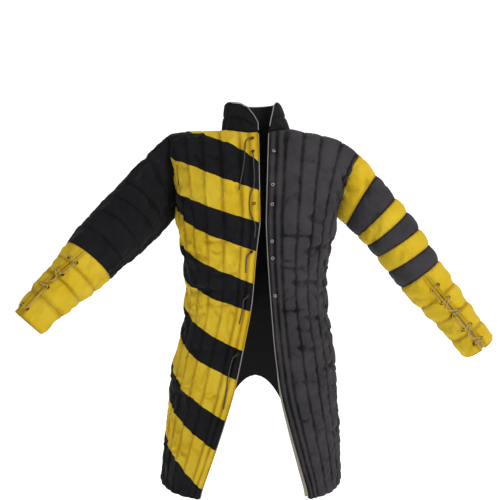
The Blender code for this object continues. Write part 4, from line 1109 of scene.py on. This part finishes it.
# Collar: a band of black quilted cotton, about 7 cm high, that stands on the neckline. Its right
# front corner is rounded off, and its left one leans back.
COLLAR_HEIGHTS = {
    RIGHT: ((0.0, 0.016), (0.012, 0.034), (0.030, 0.053), (0.050, 0.062), (0.090, 0.068),
            (0.150, 0.070)),
    LEFT: ((0.0, 0.058), (0.020, 0.064), (0.090, 0.068), (0.150, 0.070)),
}
COLLAR_WALL = 0.006
COLLAR_BULGE = 0.002
COLLAR_MIDDLE_X = -0.005
COLLAR_RIGHT_NARROWING = 0.90
COLLAR_DEPTH_SHARE = 0.86
COLLAR_LEFT_EDGE = 0.026
COLLAR_LEFT_EDGE_TOP = 0.044
COLLAR_LEFT_SIDE_TOP = 0.060
COLLAR_CELLS = 22
COLLAR_ROUND = 0.5        # cloth round the collar
COLLAR_TALL = 0.07
COLLAR_LINES = (0.0, 0.5, 1.0)
NECK_CELLS = 43


def neck_side(side):
    """The neckline's outer and inner edge on one side, from the front edge to the back's middle,
    and the collar's upper edge over it."""
    shares = np.linspace(0.0, 1.0, 2001)
    chest = np.full_like(shares, CHEST_Z)
    points = []
    for panel in ("front", "back"):
        x = level_point(side, level_angle(side, panel, shares, chest), chest)[0]
        inside = shares[shoulder_x(side, panel, x) < NECK_HALF]
        share = np.linspace(inside[0], inside[-1], NECK_CELLS + 1)
        if panel == "back":
            share = share[1:]
        height = column_height(side, panel, share)
        at = body_point(side, panel, share, height)
        points.append((at, at - body_normal(side, panel, share, height) * WALL))
    outer = np.concatenate([points[0][0], points[1][0]])
    inner = np.concatenate([points[0][1], points[1][1]])
    run = np.concatenate([[0.0], np.cumsum(np.linalg.norm(np.diff(outer, axis=0), axis=1))])
    if side == RIGHT:
        x = outer[:, 0] * COLLAR_RIGHT_NARROWING
    else:
        lean = (outer[:, 0] - COLLAR_LEFT_EDGE) / (NECK_HALF - COLLAR_LEFT_EDGE)
        x = np.where(outer[:, 1] < 0,
                     COLLAR_LEFT_EDGE_TOP + (COLLAR_LEFT_SIDE_TOP - COLLAR_LEFT_EDGE_TOP) * lean,
                     outer[:, 0] * COLLAR_LEFT_SIDE_TOP / NECK_HALF)
    top = np.stack([x, outer[:, 1] * COLLAR_DEPTH_SHARE,
                    read_rows(COLLAR_HEIGHTS[side], run, 1)], axis=-1)
    return outer, inner, top


right_neck, left_neck = neck_side(RIGHT), neck_side(LEFT)
neck_outer, neck_inner, neck_top = (np.concatenate([a, b[-2::-1]])
                                    for a, b in zip(right_neck, left_neck))
neck_along = np.gradient(neck_outer, axis=0)
neck_move = pointing(unit(np.cross(neck_along, neck_outer - neck_inner)),
                     (0.0, 0.0, 0.03) - neck_outer)
neck_outer = neck_outer + neck_move * SEAM_ROOM
neck_inner = neck_inner + neck_move * SEAM_ROOM
ups = np.linspace(0.0, 1.0, COLLAR_CELLS + 1)
neck_run = np.arange(len(neck_outer)) / (len(neck_outer) - 1)
stand = neck_outer[None] + (neck_top - neck_outer)[None] * ups[:, None, None]
stand_away = unit((stand - (COLLAR_MIDDLE_X, 0.0, 0.0)) * (1, 1, 0))
stand_high, stand_off = channel(COLLAR_LINES, np.repeat(ups[:, None], len(neck_run), axis=1))
stand_outer = stand + stand_away * (COLLAR_BULGE * stand_high)[..., None]
stand_sewn = np.zeros(stand_high.shape, bool)
stand_sewn[[0, COLLAR_CELLS // 2, -1]] = True
stand_sewn[:, [0, -1]] = True
stand_outer = stand_outer + settle(stand_outer, stand_sewn, spare=0.03, reach=0.003)
stand_inner = stand - stand_away * COLLAR_WALL
foot = np.clip(ups / 0.25, 0.0, 1.0)[:, None, None]
stand_inner = neck_inner[None] * (1 - foot) + stand_inner * foot
stand_cloth = np.stack([np.broadcast_to(neck_run * COLLAR_ROUND, stand_high.shape),
                        np.broadcast_to(ups[:, None] * COLLAR_TALL, stand_high.shape),
                        stand_off * COLLAR_TALL], axis=-1)


def place_collar(x, y):
    """The collar's outer, inner and cloth points at flat ones."""
    return tuple(read_field(neck_run, ups, field, x, y)
                 for field in (stand_outer, stand_inner, stand_cloth))


padded_piece("quilted_collar", "collar", thicken(flat_cloth(neck_run, ups)),
             place_collar, black_quilting)


# Front facings: strips of undyed cotton that are sewn inside both front edges. The left one rolls
# out past the edge in the skirt, where it shows as a pale line.
FACING_SHARE = 0.0915
FACING_WALL = 0.0014
FACING_ROLL = 0.034
ROLL_SHARE = 0.029        # share of the panel's width that takes part in the roll
ROLLED_HEIGHT = 0.32
FACING_START = 0.0043     # shares of the front edge's height
FACING_RUN = 0.968
BAND_ROOM = 0.0016        # room for the seams behind the pieced front
for node, side, under, cut in (
        ("right_front_facing", RIGHT, WALL + SEAM * 2 + BAND_ROOM, (0.025, 0.870)),
        ("left_front_facing", LEFT, WALL + SEAM * 2, (0.026, 0.868))):
    def place_facing(x, y):
        height = (FACING_START + FACING_RUN * y) * column_height(side, "front", x)
        share = x
        if side == LEFT:
            roll = FACING_ROLL * np.maximum(0.0, 1 - height / ROLLED_HEIGHT) ** 0.5
            share = x - roll * np.maximum(0.0, 1 - x / ROLL_SHARE)
        at = body_point(side, "front", share, height)
        normal = body_normal(side, "front", share, height)
        ripple = 0.0004 * np.sin(height * 140 + side) * np.sin(height * 53)
        return (at - normal * (under + ripple)[:, None],
                at - normal * (under + FACING_WALL + ripple)[:, None],
                np.stack([x * PANEL_WIDTH, height, x * 0 + 0.01], axis=-1))

    made = worn_piece(f"cotton_{node}",
                      thicken(flat_cloth(np.linspace(0, FACING_SHARE, 9), np.linspace(0, 1, 181))),
                      place_facing, (cream_cotton, cream_cotton))
    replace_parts(made, node)


# Piping: a thin covered cord along each front edge and round the collar. It is off-white, and on
# the pieced front it is covered in yellow beside each yellow band.
PIPING_DIAMETER = 0.0024
PIPING_OFF = 0.0017       # from the edge to the piping's middle
PIPING_POINTS = 200
PIPING_ENDS = (0.002, 0.997)
PIPED_BANDS = (
    # level at which a stretch ends, from the hem up, and whether it is yellow
    (-0.875, False), (-0.850, True), (-0.757, False), (-0.687, True), (-0.592, False),
    (-0.525, True), (-0.433, False), (-0.366, True), (-0.289, False), (-0.2216, True),
    (-0.1476, False), (-0.081, True),
)


def piping_cotton(name, bands):
    """Bias-cut cotton drawn tightly round a cord: matt, with small slanting wrinkles that have
    painted shade in their hollows and a painted highlight on their crests.
    """
    made, tree, shader, spot = new_material(name)
    axes = add_node(tree, "SeparateXYZ", links={0: spot}).outputs
    level = add_node(tree, "MapRange", {1: HEM_Z, 2: 0.0}, {0: axes[2]})
    ramp = add_node(tree, "ValToRGB", links={0: level.outputs[0]})
    ramp.color_ramp.interpolation = "CONSTANT"
    for place, (z, yellow) in enumerate(bands):
        position = (z - HEM_Z) / -HEM_Z
        stop = (ramp.color_ramp.elements[place] if place < 2
                else ramp.color_ramp.elements.new(position))
        stop.position = position
        stop.color = linear("D2AE22" if yellow else "A3A19D")
    wrinkle = add_node(tree, "TexNoise", {"Scale": 420.0, "Detail": 2.0},
                       {"Vector": spot}).outputs["Fac"]
    # Painted shade and highlight: the wrinkles' hollows darken the colour to 0.62 and their crests
    # lighten it to 1.12
    shade = add_node(tree, "MapRange", {3: 0.62, 4: 1.12}, {0: wrinkle})
    tone = add_node(tree, "Mix", {"data_type": "RGBA", "blend_type": "MULTIPLY", 0: 1.0},
                    {6: ramp.outputs[0], 7: shade.outputs[0]})
    finish_shader(tree, shader, tone.outputs[2], wrinkle, 0.0005, 0.6, 0.85)
    return made


# Off-white cotton, a little grey with handling
white_piping = piping_cotton("off_white_piping", (PIPED_BANDS[0], (-0.0005, False)))
banded_piping = piping_cotton("banded_piping", PIPED_BANDS)
for name, side, finish in (("right_front_piping", RIGHT, banded_piping),
                           ("left_front_piping", LEFT, white_piping)):
    edge = np.zeros(PIPING_POINTS)
    height = column_height(side, "front", edge[:1])[0] * np.linspace(*PIPING_ENDS, PIPING_POINTS)
    at = body_point(side, "front", edge, height)
    away = unit(body_point(side, "front", edge - 0.02, height) - at)
    normal = body_normal(side, "front", edge, height)
    route = at + away * PIPING_OFF - normal * WALL * 0.3
    made = cord_piece(f"covered_{name}", route, PIPING_DIAMETER, finish)
    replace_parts(made, name)

# The collar's piping starts at a quarter of its height, and runs up, round and down again
rim = (stand_outer + stand_inner) / 2
step = COLLAR_CELLS // 4
rim_line = np.concatenate([rim[step:-1, 0], rim[-1], rim[-2:step - 1:-1, -1]])
rim_inside = np.concatenate([rim[step:-1, 1], rim[-2], rim[-2:step - 1:-1, -2]])
rim_along = unit(np.gradient(rim_line, axis=0))
rim_column = unit((rim_line - (COLLAR_MIDDLE_X, 0.0, 0.0)) * (1, 1, 0))
rim_away = pointing(unit(np.cross(rim_along, rim_column)), rim_line - rim_inside)
made = cord_piece("covered_collar_piping", rim_line + rim_away * PIPING_OFF, PIPING_DIAMETER,
                  white_piping)
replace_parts(made, "collar_piping")


# Eyelets: small stamped brass rings, gone dull, clenched round each lacing hole of the fronts and
# the cuffs. Each hole is a disc of painted shade.
EYELET_RING = 0.0011      # half the ring's own thickness
FRONT_HOLE = 0.0019
CUFF_HOLE = 0.0021
CUFF_EYELET_RISE = 0.0026


def aged_metal(name, face, tarnish, roughness):
    """Stamped brass, tarnished in the hollows and rubbed where cords run over it."""
    made, tree, shader, spot = new_material(name)
    patina = add_node(tree, "TexNoise", {"Scale": 500.0, "Detail": 3.0},
                      {"Vector": spot}).outputs["Fac"]
    gloss = add_node(tree, "MapRange", {3: roughness + 0.15, 4: roughness - 0.1}, {0: patina})
    tree.links.new(tone_between(tree, tarnish, face, patina), shader.inputs["Base Color"])
    tree.links.new(gloss.outputs[0], shader.inputs["Roughness"])
    shader.inputs["Metallic"].default_value = 1.0
    return made


def eyelet_ring(bm, middle, normal, hole):
    """Adds a rolled ring to a mesh, round a hole that is a disc of painted shade."""
    ring = EYELET_RING
    part = bmesh.new()
    rounded = bmesh.ops.create_circle(part, segments=10, radius=ring)["verts"]
    bmesh.ops.rotate(part, verts=rounded, matrix=Matrix.Rotation(math.pi / 2, 3, "X"))
    bmesh.ops.translate(part, verts=rounded, vec=(hole + ring, 0.0, ring * 0.6))
    bmesh.ops.spin(part, geom=part.verts[:] + part.edges[:], cent=(0, 0, 0), axis=(0, 0, 1),
                   angle=2 * math.pi, steps=24, use_merge=True)
    bmesh.ops.recalc_face_normals(part, faces=part.faces)
    ring_faces = part.faces[:]
    # A disc of painted shade fills the hole
    hole_shade_verts = bmesh.ops.create_circle(part, cap_ends=True, segments=24,
                                          radius=hole + ring)["verts"]
    bmesh.ops.translate(part, verts=hole_shade_verts, vec=(0.0, 0.0, ring * 0.25))
    kept = set(ring_faces)
    for face in part.faces:
        face.material_index = 0 if face in kept else 1
        face.smooth = face in kept
    turn = Vector((0.0, 0.0, 1.0)).rotation_difference(normal).to_matrix().to_4x4()
    part.transform(Matrix.Translation(middle) @ turn)
    scratch = bpy.data.meshes.new("eyelet")
    part.to_mesh(scratch)
    part.free()
    bm.from_mesh(scratch)
    bpy.data.meshes.remove(scratch)


# Aged brass: the left front's eyelets are still bright, the others are dull and brown
bright_brass = aged_metal("rubbed_brass", "C8C2B4", "8A8474", 0.35)
dull_brass = aged_metal("tarnished_brass", "6E5526", "2E2412", 0.5)
# The lacing hole: a disc coloured near-black as painted shade, a little uneven
hole_shade_finish, tree, shader, spot = new_material("lacing_hole_shade")
hole_shade_noise = add_node(tree, "TexNoise", {"Scale": 600.0}, {"Vector": spot})
tree.links.new(tone_between(tree, "050505", "121110", hole_shade_noise.outputs["Fac"]),
               shader.inputs["Base Color"])
shader.inputs["Roughness"].default_value = 1.0


def eyelet_piece(name, bm, brass):
    """The rings in a mesh as a piece of the coat."""
    mesh = bpy.data.meshes.new(name)
    bm.to_mesh(mesh)
    bm.free()
    mesh.materials.append(brass)
    mesh.materials.append(hole_shade_finish)
    made = coat_piece(name, mesh)
    return made


for front, ring_brass in (("right", dull_brass), ("left", bright_brass)):
    for number in range(1, 7):
        node = f"{front}_front_eyelet_{number}"
        points = np.array([vert.co[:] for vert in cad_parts[node].data.vertices])
        middle = points.mean(axis=0)
        normal = np.linalg.svd(points - middle)[2][2]
        normal = normal if normal[1] < 0 else -normal
        bm = bmesh.new()
        eyelet_ring(bm, Vector(middle), Vector(normal), FRONT_HOLE)
        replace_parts(eyelet_piece(f"rolled_{node}", bm, ring_brass), node)

for cuff in CUFFS:
    bm = bmesh.new()
    for pair in range(cuff["pairs"]):
        share = np.array([cuff["first_pair"] + cuff["pair_step"] * pair])
        radius = read_smooth(cuff["rows"], share, 4)
        for way in (-1, 1):
            turn = slit_turn(cuff, share) + way * LACE_HALF / radius
            low, high = (Vector(arm_point(cuff["rows"], share, turn, np.full(1, off))[0])
                         for off in (0.0, CUFF_EYELET_RISE))
            eyelet_ring(bm, high, (high - low).normalized(), CUFF_HOLE)
    eyelet_piece(f"{cuff['side']}_cuff_eyelets", bm, dull_brass)
